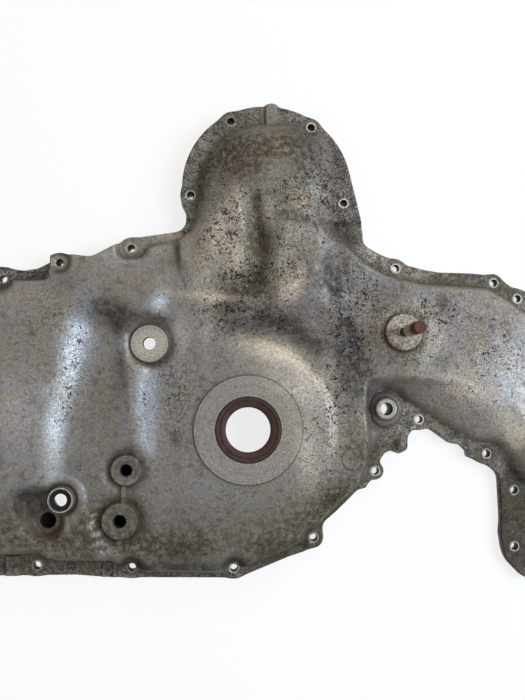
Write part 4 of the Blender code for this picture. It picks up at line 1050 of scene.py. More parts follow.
# Weathering, painted shade and painted highlights on the points, as patches in plan:
# x, y, half width, half height, turn in degrees, amount
pitPatches = (
    (-0.025, 0.187, 0.023, 0.043, -12, 1.0),
    (-0.003, 0.144, 0.025, 0.021, 30, 0.8),
    (0.042, 0.219, 0.053, 0.041, 0, 0.75),
    (-0.025, 0.270, 0.025, 0.042, -30, 0.6),
    (0.080, 0.233, 0.015, 0.061, 12, 0.9),
    (0.037, 0.151, 0.023, 0.030, 0, 0.85),
    (0.013, 0.106, 0.051, 0.019, -10, 0.8),
    (-0.025, 0.105, 0.029, 0.029, 0, 0.45),
    (0.093, 0.085, 0.025, 0.072, 0, 0.9),
    (0.114, 0.134, 0.017, 0.029, 10, 0.6),
    (0.152, 0.090, 0.036, 0.036, 0, 0.75),
    (0.187, 0.117, 0.030, 0.021, 0, 0.6),
    (-0.164, 0.051, 0.013, 0.063, -10, 0.6),
    (-0.183, 0.102, 0.027, 0.032, 0, 0.35),
    (-0.099, 0.028, 0.011, 0.042, 0, 0.45),
    (-0.068, 0.033, 0.017, 0.040, 0, 0.75),
    (0.241, 0.076, 0.057, 0.046, 0, 0.45),
    (-0.169, -0.129, 0.095, 0.008, 0, 0.5),
    (-0.107, -0.100, 0.019, 0.015, 0, 0.35),
    (0.085, -0.066, 0.029, 0.044, 30, 0.35),
    (0.070, -0.001, 0.038, 0.057, 0, 0.35),
    (0.218, 0.028, 0.039, 0.013, -28, 0.4),
)
stainPatches = (
    (0.007, 0.185, 0.008, 0.032, -6, 1.0),
    (0.000, 0.180, 0.008, 0.036, -5, 0.95),
    (0.008, 0.146, 0.009, 0.012, 45, 1.0),
    (-0.019, 0.121, 0.025, 0.010, 35, 0.8),
    (-0.047, 0.177, 0.009, 0.016, 20, 0.9),
    (-0.044, 0.241, 0.009, 0.033, -6, 1.0),
    (-0.005, 0.271, 0.041, 0.025, 0, 1.0),
    (0.050, 0.275, 0.032, 0.026, 0, 0.8),
    (-0.016, 0.251, 0.019, 0.024, 0, 0.6),
    (0.054, 0.239, 0.017, 0.019, 0, 0.5),
    (0.020, 0.224, 0.019, 0.008, 0, 0.6),
    (0.050, 0.200, 0.042, 0.007, -12, 0.8),
    (0.017, 0.127, 0.015, 0.011, 0, 0.6),
    (0.019, 0.102, 0.029, 0.011, 0, 0.6),
    (-0.128, 0.028, 0.019, 0.063, -6, 0.4),
    (-0.117, 0.080, 0.007, 0.025, -6, 0.4),
    (-0.101, -0.033, 0.015, 0.011, 0, 0.6),
    (-0.137, -0.074, 0.019, 0.033, 0, 0.4),
    (-0.146, -0.092, 0.017, 0.025, 0, 0.7),
    (-0.115, -0.035, 0.016, 0.016, 0, 0.9),
    (-0.119, -0.084, 0.018, 0.018, 0, 0.9),
    (-0.104, -0.079, 0.007, 0.023, 0, 0.5),
    (-0.218, -0.091, 0.038, 0.029, 0, 0.75),
    (-0.172, -0.105, 0.038, 0.015, 0, 0.7),
    (-0.044, -0.094, 0.105, 0.030, 0, 0.55),
    (-0.061, -0.110, 0.029, 0.011, 0, 0.8),
    (0.049, -0.078, 0.048, 0.031, 30, 0.5),
    (0.085, -0.068, 0.039, 0.016, 42, 0.9),
    (0.123, -0.023, 0.021, 0.019, 0, 1.0),
    (0.100, -0.001, 0.013, 0.029, 0, 0.5),
    (0.145, 0.081, 0.023, 0.021, 0, 0.8),
    (-0.195, -0.128, 0.099, 0.010, 0, 0.9),
    (-0.055, 0.119, 0.057, 0.017, -10, 0.2),
    (0.205, 0.151, 0.059, 0.009, -6, 0.8),
    (0.269, 0.139, 0.025, 0.018, -30, 0.7),
    (0.265, -0.100, 0.024, 0.049, 0, 2.2),
    (0.237, -0.027, 0.014, 0.011, 0, 1.0),
    (0.186, 0.018, 0.054, 0.012, -28, 0.45),
    (0.203, -0.004, 0.043, 0.008, -25, 0.5),
    (0.052, -0.117, 0.049, 0.012, 15, 1.0),
    (-0.022, 0.307, 0.039, 0.009, 10, 0.5),
    (0.101, 0.190, 0.013, 0.013, -30, 0.8),
    (-0.075, 0.159, 0.025, 0.008, -10, 0.4),
    (-0.194, 0.121, 0.019, 0.013, 0, 0.25),
    (0.147, -0.012, 0.012, 0.010, 0, 0.6),
    (-0.005, 0.136, 0.013, 0.019, 0, 1.3),
    (0.013, 0.246, 0.028, 0.013, 0, 0.45),
    (0.013, 0.183, 0.011, 0.025, -8, 0.5),
    (0.252, -0.012, 0.009, 0.012, 0, 0.8),
    (-0.091, -0.107, 0.058, 0.013, 0, 0.5),
    (0.021, -0.109, 0.039, 0.012, 8, 0.5),
)
# Painted shade, with some soot: patches darkened where the relief falls into shade, such as the scoop's top,
# the lobes' south faces, the valleys and the pocket
shadeAndSootPatches = (
    (-0.131, 0.112, 0.025, 0.011, -10, 1.4),
    (-0.100, 0.101, 0.025, 0.009, 12, 1.4),
    (0.000, 0.096, 0.025, 0.011, -12, 1.7),
    (0.040, 0.090, 0.035, 0.014, -24, 1.9),
    (0.095, 0.076, 0.013, 0.040, 4, 1.8),
    (0.080, 0.145, 0.015, 0.026, 8, 1.2),
    (0.059, 0.144, 0.008, 0.023, 8, 0.8),
    (0.114, 0.068, 0.019, 0.017, -20, 0.5),
    (0.062, 0.271, 0.017, 0.034, 12, 0.7),
    (0.087, 0.187, 0.013, 0.019, -30, 0.6),
    (0.012, 0.181, 0.005, 0.021, -6, 0.25),
    (0.010, 0.154, 0.008, 0.009, 45, 0.2),
    (-0.058, 0.202, 0.008, 0.006, 0, 0.9),
    (-0.056, 0.240, 0.005, 0.023, 6, 0.5),
    (0.237, 0.096, 0.048, 0.032, 0, 0.3),
    (0.191, 0.122, 0.010, 0.012, 10, 0.7),
    (0.190, 0.064, 0.006, 0.010, -20, 0.6),
    (-0.202, -0.069, 0.017, 0.014, -25, 1.8),
    (0.139, 0.036, 0.021, 0.008, 0, 0.6),
    (0.054, 0.292, 0.021, 0.008, -20, 0.4),
    (-0.067, -0.009, 0.005, 0.006, 30, 0.9),
    (0.132, 0.124, 0.023, 0.023, -10, 0.4),
    (-0.104, 0.064, 0.008, 0.006, -30, 0.7),
    (0.265, -0.092, 0.024, 0.051, 0, 2.2),
    (-0.115, -0.035, 0.015, 0.015, 0, 0.55),
    (-0.119, -0.084, 0.017, 0.017, 0, 0.45),
    (0.150, 0.092, 0.008, 0.008, 0, 0.6),
    (0.080, -0.067, 0.039, 0.014, 42, 0.5),
    (0.232, 0.157, 0.035, 0.007, -8, 0.7),
    (0.108, 0.033, 0.011, 0.013, 0, 0.4),
    (-0.027, 0.227, 0.011, 0.019, 0, 0.25),
    (0.118, 0.023, 0.005, 0.021, 0, 0.8),
    (0.061, 0.064, 0.010, 0.015, 0, 1.4),
    (-0.078, -0.131, 0.063, 0.008, 0, 0.7),
    (-0.094, 0.097, 0.021, 0.007, 8, 0.8),
    (-0.018, 0.232, 0.011, 0.013, 0, 0.4),
    (0.022, 0.174, 0.009, 0.011, 0, 0.35),
    (0.139, 0.083, 0.008, 0.009, 0, 0.4),
    (-0.054, -0.127, 0.079, 0.009, 0, 0.8),
    (0.025, -0.123, 0.030, 0.008, 15, 0.8),
    (0.113, 0.055, 0.011, 0.011, 0, 0.7),
    (-0.160, -0.028, 0.015, 0.025, 0, 0.25),
    (0.149, 0.137, 0.038, 0.010, 8, 0.25),
    (0.097, 0.159, 0.009, 0.027, 10, 0.5),
    (0.090, 0.267, 0.006, 0.029, 12, 0.6),
    (-0.096, 0.098, 0.023, 0.007, 4, 1.0),
    (0.253, -0.014, 0.009, 0.014, 0, 1.0),
    (-0.063, -0.110, 0.019, 0.009, 0, 0.6),
    (0.027, -0.113, 0.023, 0.008, 10, 0.5),
    (0.094, 0.200, 0.006, 0.012, -20, 0.3),
    (0.098, 0.272, 0.005, 0.025, 14, 0.6),
    (0.093, 0.259, 0.004, 0.021, 14, 0.5),
    (-0.167, 0.137, 0.014, 0.010, 0, 0.35),
    (-0.105, 0.154, 0.033, 0.006, -10, 0.35),
)
# Painted highlights, with some cleaner metal: pale bluish patches on the slopes that catch the window's
# light, and on slopes that face away from the lamps to lift them
paleHighlightPatches = (
    (-0.157, 0.079, 0.013, 0.048, -10, 1.2),
    (-0.170, 0.088, 0.009, 0.023, -8, 0.6),
    (-0.178, -0.005, 0.011, 0.038, 0, 0.95),
    (-0.094, 0.028, 0.010, 0.042, 0, 1.4),
    (-0.091, -0.011, 0.008, 0.021, 0, 0.8),
    (-0.086, 0.119, 0.013, 0.008, 30, 1.0),
    (-0.118, 0.082, 0.007, 0.013, 0, 1.5),
    (-0.112, 0.017, 0.008, 0.027, 0, 0.5),
    (0.062, 0.229, 0.014, 0.023, 0, 0.3),
    (-0.138, -0.096, 0.007, 0.021, 8, 0.8),
    (-0.130, -0.113, 0.006, 0.006, 0, 1.0),
    (-0.156, -0.061, 0.006, 0.013, 0, 0.6),
    (0.251, 0.055, 0.023, 0.032, 0, 0.25),
    (0.205, 0.016, 0.045, 0.008, -28, 0.3),
    (0.117, 0.020, 0.006, 0.013, 0, 0.3),
    (-0.117, 0.159, 0.038, 0.008, -8, 0.3),
    (-0.068, 0.094, 0.011, 0.023, 0, 0.3),
    (-0.210, 0.019, 0.027, 0.053, 0, 0.3),
    (0.093, 0.124, 0.005, 0.025, -6, 0.5),
    (-0.062, 0.233, 0.005, 0.016, 0, 0.4),
    (0.007, 0.193, 0.006, 0.013, -6, 0.35),
    (0.035, 0.207, 0.021, 0.004, -10, 0.5),
)
# Painted warm highlights, with the cream tint of some faces: the crescent on the seal's cone, the lit slopes
# of the lobes, lifted slopes above the notch, and the boss faces
creamAndHighlightPatches = (
    (0.028, 0.072, 0.040, 0.014, -20, 1.0),
    (0.059, 0.049, 0.019, 0.012, -44, 0.6),
    (-0.043, 0.154, 0.012, 0.038, 8, 0.62),
    (-0.023, 0.193, 0.019, 0.036, -12, 0.6),
    (-0.010, 0.159, 0.009, 0.017, 0, 0.7),
    (0.043, 0.136, 0.010, 0.021, -30, 0.9),
    (0.037, 0.164, 0.008, 0.017, -20, 0.3),
    (0.019, 0.206, 0.007, 0.015, 0, 0.7),
    (0.026, 0.247, 0.013, 0.009, 0, 0.2),
    (0.263, -0.008, 0.014, 0.015, -20, 1.2),
    (0.215, 0.035, 0.025, 0.013, -24, 0.6),
    (-0.032, 0.126, 0.047, 0.004, -4, 0.5),
    (-0.214, 0.019, 0.025, 0.034, 0, 0.25),
    (-0.095, 0.081, 0.018, 0.018, 0, 0.65),
    (0.150, 0.093, 0.016, 0.016, 0, 0.55),
    (-0.180, 0.160, 0.012, 0.010, 0, 0.7),
    (-0.212, 0.121, 0.047, 0.013, 0, 0.15),
    (0.054, -0.024, 0.011, 0.038, 10, 0.4),
    (0.130, 0.172, 0.016, 0.006, -25, 1.0),
    (0.168, 0.157, 0.012, 0.005, -10, 0.9),
    (-0.069, 0.089, 0.017, 0.019, 0, 0.25),
    (-0.114, 0.174, 0.014, 0.008, 0, 0.4),
    (-0.075, 0.186, 0.025, 0.006, 0, 0.4),
    (0.041, 0.038, 0.032, 0.011, -24, 0.45),
    (-0.049, 0.270, 0.010, 0.023, -22, 0.35),
    (0.254, 0.008, 0.019, 0.015, -30, 0.45),
    (0.188, 0.012, 0.048, 0.011, -28, 0.2),
    (-0.176, -0.020, 0.008, 0.029, 0, 0.2),
)
rustPatches = (
    (0.1506, 0.0930, 0.012, 0.012, 0, 0.6),
    (0.140, 0.082, 0.008, 0.008, 0, 0.8),
)
# how cleanly each boss face shows its cut
turnedShare = {"left": 1.0, "upper": 0.25, "lower": 0.25, "stud": 0.6, "dowel": 0.25}


def patches(x, y, table):
    total = np.zeros(x.shape)
    for px, py, wide, tall, turn, amount in table:
        c, s = math.cos(math.radians(turn)), math.sin(math.radians(turn))
        u = ((x - px) * c + (y - py) * s) / wide
        v = (-(x - px) * s + (y - py) * c) / tall
        total = total + amount * np.exp(-1.2 * (u * u + v * v))
    return np.clip(total, 0, 1)


def paintOf(points, xs, ys, front, frontCount, skinCount):
    x, y, z = points.T
    onFront = np.zeros(len(points))
    onFront[:frontCount] = 1
    # the walls of the holes, painted near black as shade
    inBore = np.zeros(len(points))
    inBore[skinCount:] = 1
    # hollows keep grime and painted shade: how far a point lies under the mean height round it
    hollow = np.zeros(len(points))
    notch = notchShare(x, y, (0.110, 0.124))
    for reach in (3, 7):
        steps = range(-reach, reach + 1)
        mean = front
        for axis in (0, 1):
            mean = np.mean([np.roll(mean, k, axis=axis) for k in steps], axis=0)
        hollow += np.clip((sampled(xs, ys, mean - front, x, y)) / (0.0005 * reach), 0, 1)
    machined = np.zeros(len(points))
    worn = np.zeros(len(points))
    turned = np.zeros(len(points))
    # painted shade: dark lines where the boss faces, the seal's face ring, the bolt clearings and the ejector
    # mark meet the casting, and in the tube's mouth
    edge = np.zeros(len(points))
    for name, (bossX, bossY, face, radius, moat, deep) in bosses.items():
        away = np.hypot(x - bossX, y - bossY)
        machined = np.maximum(machined, (away < radius + 0.0001) * turnedShare[name])
        turned = np.where(away < radius + 0.002, away, turned)
        edge = np.maximum(edge, np.exp(-((away - radius - 0.0012) / 0.0012) ** 2))
    away = np.hypot(x, y)
    ring = sealSizes["faceRing"] / 2
    machined = np.maximum(machined, (away < ring + 0.0001) * 0.55)
    turned = np.where(away < ring + 0.002, away, turned)
    edge = np.maximum(edge, np.exp(-((away - ring - 0.0004) / 0.0007) ** 2))
    away = np.hypot(x - tube["x"], y - tube["y"])
    worn = np.maximum(worn, (away < tube["radius"] + 0.0003) * (away > tube["radius"] - 0.0009) * 0.6)
    edge = np.maximum(edge, (away < tube["radius"] - 0.0012) * 0.9)
    for boltX, boltY, pad, ear, bright in bolts:
        away = np.hypot(x - boltX, y - boltY)
        worn = np.maximum(worn, bright * (1 - ease(0.0046, 0.0056, away)))
        edge = np.maximum(edge, 0.5 * np.exp(-((away - casting["boltClearing"]) / 0.0016) ** 2))
    away = np.hypot(x - bosses["dowel"][0], y - bosses["dowel"][1])
    worn = np.maximum(worn, 0.32 * (1 - ease(0.0082, 0.0108, away)))
    away = np.hypot(x - ejector["x"], y - ejector["y"]) - ejector["radius"]
    edge = np.maximum(edge, 0.55 * np.exp(-((away - 0.0003) / 0.0009) ** 2))
    flange = (1 - ease(0.0004, 0.0016, z - flangeHeight(x, y))) * onFront
    upperLeft = ease(-0.192, -0.186, x) * (1 - ease(-0.075, -0.068, x)) * ease(0.146, 0.150, y)
    flange = flange * (1 - worn) * (1 - 0.8 * upperLeft)
    return {
        "bore": inBore,
        "flange": flange,
        "grimeAndShade": np.clip(hollow * 0.6, 0, 1) * (1 - 0.8 * notch) * onFront,
        "machined": machined * onFront,
        "turned": turned,
        "edge": edge * onFront,
        "worn": worn * onFront,
        "pits": np.clip(patches(x, y, pitPatches) + 0.45 * flange, 0, 1) * onFront,
        "stain": patches(x, y, stainPatches) * onFront,
        "shadeAndSoot": patches(x, y, shadeAndSootPatches) * onFront,
        "paleHighlight": patches(x, y, paleHighlightPatches) * onFront,
        "creamAndHighlight": patches(x, y, creamAndHighlightPatches) * onFront,
        "rust": patches(x, y, rustPatches) * onFront,
    }


class NodeTree:
    # the nodes of one material or world, with short ways to add more
    def __init__(self, owner):
        owner.use_nodes = True
        self.nodes = owner.node_tree.nodes
        self.links = owner.node_tree.links

    def fill(self, pairs):
        # gives each socket its value: a number, a colour, a vector or another node's output
        for socket, value in pairs:
            if isinstance(value, bpy.types.NodeSocket):
                self.links.new(value, socket)
            elif socket.type == "RGBA" and not isinstance(value, (int, float)):
                socket.default_value = (*value, 1)
            else:
                socket.default_value = value

    def finish(self, values):
        shader = self.nodes["Principled BSDF"]
        self.fill((shader.inputs[name], value) for name, value in values.items())

    def maths(self, kind, *values, clamp=False):
        node = self.nodes.new("ShaderNodeMath")
        node.operation = kind
        node.use_clamp = clamp
        self.fill(zip(node.inputs, values))
        return node.outputs[0]

    def times(self, a, b, clamp=False):
        return self.maths("MULTIPLY", a, b, clamp=clamp)

    def ramp(self, source, stops):
        node = self.nodes.new("ShaderNodeValToRGB")
        elements = node.color_ramp.elements
        while len(elements) < len(stops):
            elements.new(0.5)
        for element, (place, colour) in zip(elements, stops):
            element.position = place
            element.color = (*colour, 1)
        self.links.new(source, node.inputs[0])
        return node.outputs[0]

    def grey(self, source, low, high, first=0.0, last=1.0):
        return self.ramp(source, ((low, (first,) * 3), (high, (last,) * 3)))

    def mix(self, share, a, b, kind="MIX"):
        node = self.nodes.new("ShaderNodeMix")
        node.data_type = "RGBA"
        node.blend_type = kind
        self.fill(((node.inputs["Factor"], share), (node.inputs[6], a), (node.inputs[7], b)))
        return node.outputs[2]

    def attribute(self, name):
        node = self.nodes.new("ShaderNodeAttribute")
        node.attribute_name = name
        return node.outputs["Fac"]

    def places(self):
        return self.nodes.new("ShaderNodeTexCoord").outputs["Object"]

    def noise(self, where, scale, detail, rough, stretch=None):
        if stretch:
            mapping = self.nodes.new("ShaderNodeMapping")
            self.fill(((mapping.inputs[0], where), (mapping.inputs["Scale"], stretch)))
            where = mapping.outputs[0]
        node = self.nodes.new("ShaderNodeTexNoise")
        values = {"Vector": where, "Scale": scale, "Detail": detail, "Roughness": rough}
        self.fill((node.inputs[name], value) for name, value in values.items())
        return node.outputs["Fac"]

    def bump(self, height, strength, distance):
        node = self.nodes.new("ShaderNodeBump")
        values = {"Height": height, "Strength": strength, "Distance": distance}
        self.fill((node.inputs[name], value) for name, value in values.items())
        return node.outputs[0]

    def seen(self):
        # 1 for what the camera sees, also by way of gloss or glass
        path = self.nodes.new("ShaderNodeLightPath").outputs
        direct = self.maths("ADD", path["Is Camera Ray"], path["Is Glossy Ray"])
        return self.maths("ADD", direct, path["Is Transmission Ray"], clamp=True)

    def mixShader(self, share, first, second, end):
        node = self.nodes.new("ShaderNodeMixShader")
        self.fill(zip(node.inputs, (share, first, second)))
        self.links.new(node.outputs[0], self.nodes[end].inputs["Surface"])


def castAluminium():
    look = {
        "bare": (0.165, 0.157, 0.142),
        "warm": (0.162, 0.140, 0.110),
        "cool": (0.148, 0.151, 0.154),
        "plum": (0.142, 0.120, 0.120),
        # pale bluish tone of the painted highlights and of cleaner metal
        "cleanAndHighlight": (0.315, 0.345, 0.385),
        # warm cream of the painted highlights and of the tinted faces
        "creamAndHighlight": (0.455, 0.402, 0.322),
        "olive": (0.092, 0.082, 0.050),
        "brown": (0.056, 0.040, 0.027),
        # near black of soot, also used for painted shade and for the painted crease lines
        "sootAndShadeTone": (0.024, 0.023, 0.023),
        # near black of the pits, also the painted shade of the bores
        "pit": (0.014, 0.011, 0.009),
        "cut": (0.255, 0.235, 0.208),
        "bright": (0.46, 0.44, 0.40),
        "rust": (0.150, 0.066, 0.030),
        "metallic": 0.50,
        "pitScales": ((330, 0.125), (680, 0.120)),  # size of the noise, and how far its level falls
        "pitEdge": (0.650, 0.685),
    }
    made = bpy.data.materials.new("weatheredAluminium")
    net = NodeTree(made)
    maths, times, ramp, blend, noise = net.maths, net.times, net.grey, net.mix, net.noise
    coords = net.places()
    pits, stain, rust, shadeAndSoot, paleHighlight, creamAndHighlight = (
        net.attribute(name) for name in ("pits", "stain", "rust", "shadeAndSoot", "paleHighlight", "creamAndHighlight"))
    grimeAndShade, machined, worn, flange, turned, edge, bore = (
        net.attribute(name) for name in ("grimeAndShade", "machined", "worn", "flange", "turned", "edge", "bore"))

    # broad and small mottling of the skin, and painted highlights in a pale bluish tone with cleaner metal
    broad = noise(coords, 14, 5, 0.6)
    middle = noise(coords, 60, 5, 0.65)
    small = noise(coords, 190, 6, 0.72)
    blots = noise(coords, 128, 7, 0.75, (1.0, 1.0, 2.0))
    fine = noise(coords, 520, 5, 0.75)
    streak = noise(coords, 70, 5, 0.65, (1.0, 0.16, 1.0))
    colour = blend(ramp(broad, 0.42, 0.62), look["bare"], look["warm"])
    colour = blend(ramp(middle, 0.50, 0.68), colour, look["cool"])
    colour = blend(ramp(streak, 0.50, 0.68, 0, 0.8), colour, look["plum"])
    # painted highlights: pale bluish patches, broken up by noise
    cleanAndHighlight = times(paleHighlight, ramp(middle, 0.30, 0.60, 0.55, 1.0))
    colour = blend(times(cleanAndHighlight, 0.85), colour, look["cleanAndHighlight"])

    # stains, grime with painted shade in the hollows, and patches of painted shade, broken up by noise
    ragged = times(stain, ramp(small, 0.36, 0.60, 0.30, 1.25), clamp=True)
    colour = blend(times(ragged, 0.80), colour, look["olive"])
    colour = blend(times(maths("POWER", ragged, 2.0), 0.80), colour, look["brown"])
    # painted shade: the dark patches darkened towards near black, partly soot
    shadeAndSootMask = times(shadeAndSoot, ramp(blots, 0.34, 0.60, 0.45, 1.15), clamp=True)
    colour = blend(times(shadeAndSootMask, 0.85), colour, look["sootAndShadeTone"])
    # painted shade: hollows darkened towards brown, together with their grime
    grimeAndShadeMask = times(grimeAndShade, ramp(fine, 0.30, 0.62, 0.50, 1.1), clamp=True)
    colour = blend(times(grimeAndShadeMask, 0.80), colour, look["brown"])
    spread = times(ramp(blots, 0.53, 0.63, 0, 0.62), maths("SUBTRACT", 1.0, cleanAndHighlight, clamp=True))
    colour = blend(spread, colour, look["brown"])
    colour = blend(ramp(fine, 0.30, 0.42, 0.40, 0.0), colour, look["cut"])

    # faces that were cut by a tool, with rings left by its turning
    outward = net.nodes.new("ShaderNodeCombineXYZ")
    net.links.new(turned, outward.inputs[0])
    rings = noise(outward.outputs[0], 700, 3, 0.6)
    cutTone = blend(ramp(small, 0.46, 0.66, 0, 0.55), look["cut"], look["warm"])
    cutTone = blend(1.0, cutTone, ramp(rings, 0.38, 0.62, 0.66, 1.22), "MULTIPLY")
    colour = blend(times(machined, 0.88), colour, cutTone)
    # painted warm highlights and cream tint, broken up by noise
    colour = blend(times(creamAndHighlight, ramp(small, 0.34, 0.56, 0.50, 0.95)), colour, look["creamAndHighlight"])
    colour = blend(times(worn, ramp(small, 0.34, 0.52, 0.55, 1.0)), colour, look["bright"])
    colour = blend(times(rust, ramp(small, 0.44, 0.60, 0.0, 0.85)), colour, look["rust"])
    # painted shade: the crease lines darkened towards near black
    colour = blend(times(edge, 0.62), colour, look["sootAndShadeTone"])

    # dark pits: noise cut off at a level that falls where they lie close
    clump = ramp(noise(coords, 110, 4, 0.65), 0.40, 0.60, 0.30, 1.25)
    close = times(pits, clump)
    layers = []
    for scale, reach in look["pitScales"]:
        level = maths("MULTIPLY_ADD", close, reach, noise(coords, scale, 3, 0.7))
        layers.append(ramp(level, *look["pitEdge"]))
    spare = maths("SUBTRACT", 1.0, maths("MAXIMUM", machined, worn), clamp=True)
    pitMask = times(maths("MAXIMUM", *layers), maths("MULTIPLY_ADD", spare, 0.80, 0.20))
    colour = blend(times(pitMask, 0.88), colour, look["pit"])

    # sand grain of the skin, soot and pale flakes on the flange, and painted shade: the bores darkened near
    # black
    grain = maths("MULTIPLY_ADD", pits, 0.75, 0.55)
    colour = blend(grain, colour, ramp(fine, 0.37, 0.63, 0.42, 1.65), "MULTIPLY")
    sand = noise(coords, 1150, 2, 0.7)
    colour = blend(times(pits, 0.95), colour, ramp(sand, 0.34, 0.66, 0.55, 1.50), "MULTIPLY")
    deep = blend(times(stain, 0.85, clamp=True), look["sootAndShadeTone"], look["olive"])
    colour = blend(times(flange, ramp(blots, 0.44, 0.58, 0.05, 0.85)), colour, deep)
    unstained = maths("MULTIPLY_ADD", stain, -0.90, 1.0, clamp=True)
    flakes = times(ramp(fine, 0.53, 0.60, 0.0, 0.80), unstained)
    colour = blend(times(flange, flakes), colour, look["cut"])
    colour = blend(times(bore, 0.96), colour, look["pit"])

    # dirt, painted shade and the bores are duller than the metal
    metal = maths("MULTIPLY_ADD", ragged, -0.38, look["metallic"])
    metal = maths("SUBTRACT", metal, times(shadeAndSootMask, 0.30), clamp=True)
    metal = maths("SUBTRACT", metal, bore, clamp=True)
    dirtAndShade = maths("MAXIMUM", maths("MAXIMUM", ragged, shadeAndSootMask), times(flange, 0.6))
    dirtAndShade = maths("MAXIMUM", maths("MAXIMUM", dirtAndShade, bore), pitMask)
    shine = maths("MULTIPLY_ADD", dirtAndShade, -0.42, 0.5)
    rough = maths("SUBTRACT", ramp(small, 0.36, 0.62, 0.38, 0.52), times(cleanAndHighlight, 0.10))
    for mask, share in ((pitMask, 0.30), (creamAndHighlight, 0.10), (shadeAndSootMask, 0.12)):
        rough = maths("ADD", rough, times(mask, share))
    for mask, share in ((ragged, 0.20), (bore, 0.40)):
        rough = maths("ADD", rough, times(mask, share), clamp=True)

    # surface relief: sand texture, waviness, pits
    height = maths("ADD", times(fine, 0.00016), times(small, 0.00022))
    height = maths("ADD", height, times(noise(coords, 38, 3, 0.5), 0.0010))
    height = maths("SUBTRACT", height, times(pitMask, 0.00020))
    relief = net.bump(height, maths("MULTIPLY_ADD", machined, -0.7, 0.85), 1.0)
    net.finish({
        "Base Color": colour,
        "Metallic": metal,
        "Specular IOR Level": shine,
        "Roughness": rough,
        "Normal": relief,
    })
    return made


def plainSteel():
    look = {"tone": (0.33, 0.31, 0.29), "darker": (0.231, 0.217, 0.203), "metallic": 0.8, "roughness": 0.38}
    made = bpy.data.materials.new("sealSteel")
    net = NodeTree(made)
    fine = net.noise(net.places(), 700, 5, 0.7)
    net.finish({
        "Base Color": net.mix(net.grey(fine, 0.35, 0.65), look["tone"], look["darker"]),
        "Metallic": look["metallic"],
        "Roughness": look["roughness"],
        "Normal": net.bump(fine, 0.5, 0.0002),
    })
    return made


def sealRubber():
    look = {
        "tone": (0.028, 0.012, 0.009),
        "dust": (0.056, 0.028, 0.021),
        "deep": (0.018, 0.009, 0.007),
        "roughness": 0.55,
        "specular": 0.22,
    }
    made = bpy.data.materials.new("brownSealRubber")
    net = NodeTree(made)
    coords = net.places()
    dust = net.noise(coords, 160, 5, 0.7)
    fine = net.noise(coords, 1200, 3, 0.6)
    tone = net.mix(net.grey(dust, 0.40, 0.70), look["tone"], look["dust"])
    net.finish({
        "Base Color": net.mix(net.grey(fine, 0.60, 0.75, 0, 0.6), tone, look["deep"]),
        "Roughness": look["roughness"],
        "Specular IOR Level": look["specular"],
        "Normal": net.bump(fine, 0.3, 0.0002),
    })
    return made


def turnedPiece(name, profile, sides, centre):
    # a closed profile of radius and height pairs, spun about an upright axis
    bpy.ops.object.select_all(action="DESELECT")
    mesh = bpy.data.meshes.new(name)
    onAxis = profile[0][0] == 0 and profile[-1][0] == 0
    count = len(profile)
    edges = [(i, (i + 1) % count) for i in range(count - 1 if onAxis else count)]
    mesh.from_pydata([(r, 0, z) for r, z in profile], edges, [])
    piece = bpy.data.objects.new(name, mesh)
    bpy.context.scene.collection.objects.link(piece)
    bpy.context.view_layer.objects.active = piece
    piece.select_set(True)
    bpy.ops.object.mode_set(mode="EDIT")
    bpy.ops.mesh.select_all(action="SELECT")
    bpy.ops.mesh.spin(steps=sides, angle=2 * math.pi, center=(0, 0, 0), axis=(0, 0, 1))
    bpy.ops.mesh.select_all(action="SELECT")
    bpy.ops.mesh.remove_doubles(threshold=0.00001)
    bpy.ops.mesh.select_all(action="SELECT")
    bpy.ops.mesh.normals_make_consistent(inside=False)
    bpy.ops.object.mode_set(mode="OBJECT")
    mesh.transform(Matrix.Translation((centre[0], centre[1], 0)))
    bpy.ops.object.shade_smooth_by_angle(angle=math.radians(35))
    return piece


def makeSeal():
    outer = sealSizes["seat"] / 2 - sealSizes["clearance"]
    low = heights["sealFace"] - sealSizes["depth"] + sealSizes["clearance"]
    top = heights["sealFace"] - sealSizes["sink"]
    lip = sealSizes["bore"] / 2
    wall = outer - 0.0021
    web = top - 0.0013
    profile = (
        (outer, low),
        (outer, top - 0.0005),
        (outer - 0.00015, top - 0.00015),
        (outer - 0.0005, top),
        (outer - 0.0031, top),
        (outer - 0.0034, top - 0.0002),
        (outer - 0.0036, top - 0.0007),
        (outer - 0.0041, top - 0.0007),
        (outer - 0.0044, top - 0.0001),
        (outer - 0.0048, top - 0.00005),
        (lip + 0.0018, top - 0.0008),
        (lip + 0.0006, top - 0.0014),
        (lip, top - 0.0023),
        (lip + 0.0006, top - 0.0033),
        (lip + 0.0009, top - 0.0041),
        (lip, top - 0.0052),
        (lip + 0.0016, top - 0.0072),
        (lip + 0.0028, top - 0.0070),
        (lip + 0.0030, top - 0.0064),
        (lip + 0.0021, top - 0.0059),
        (lip + 0.0020, top - 0.0043),
        (lip + 0.0034, top - 0.0030),
        (lip + 0.0037, web),
        (wall, web),
        (wall, low),
    )
    return turnedPiece("brownSeal", profile, 128, (crankX, crankY))


# radii of the stud, and the length of its neck above the boss
studSizes = {"neck": 0.0040, "head": 0.00585, "neckLength": 0.0145}


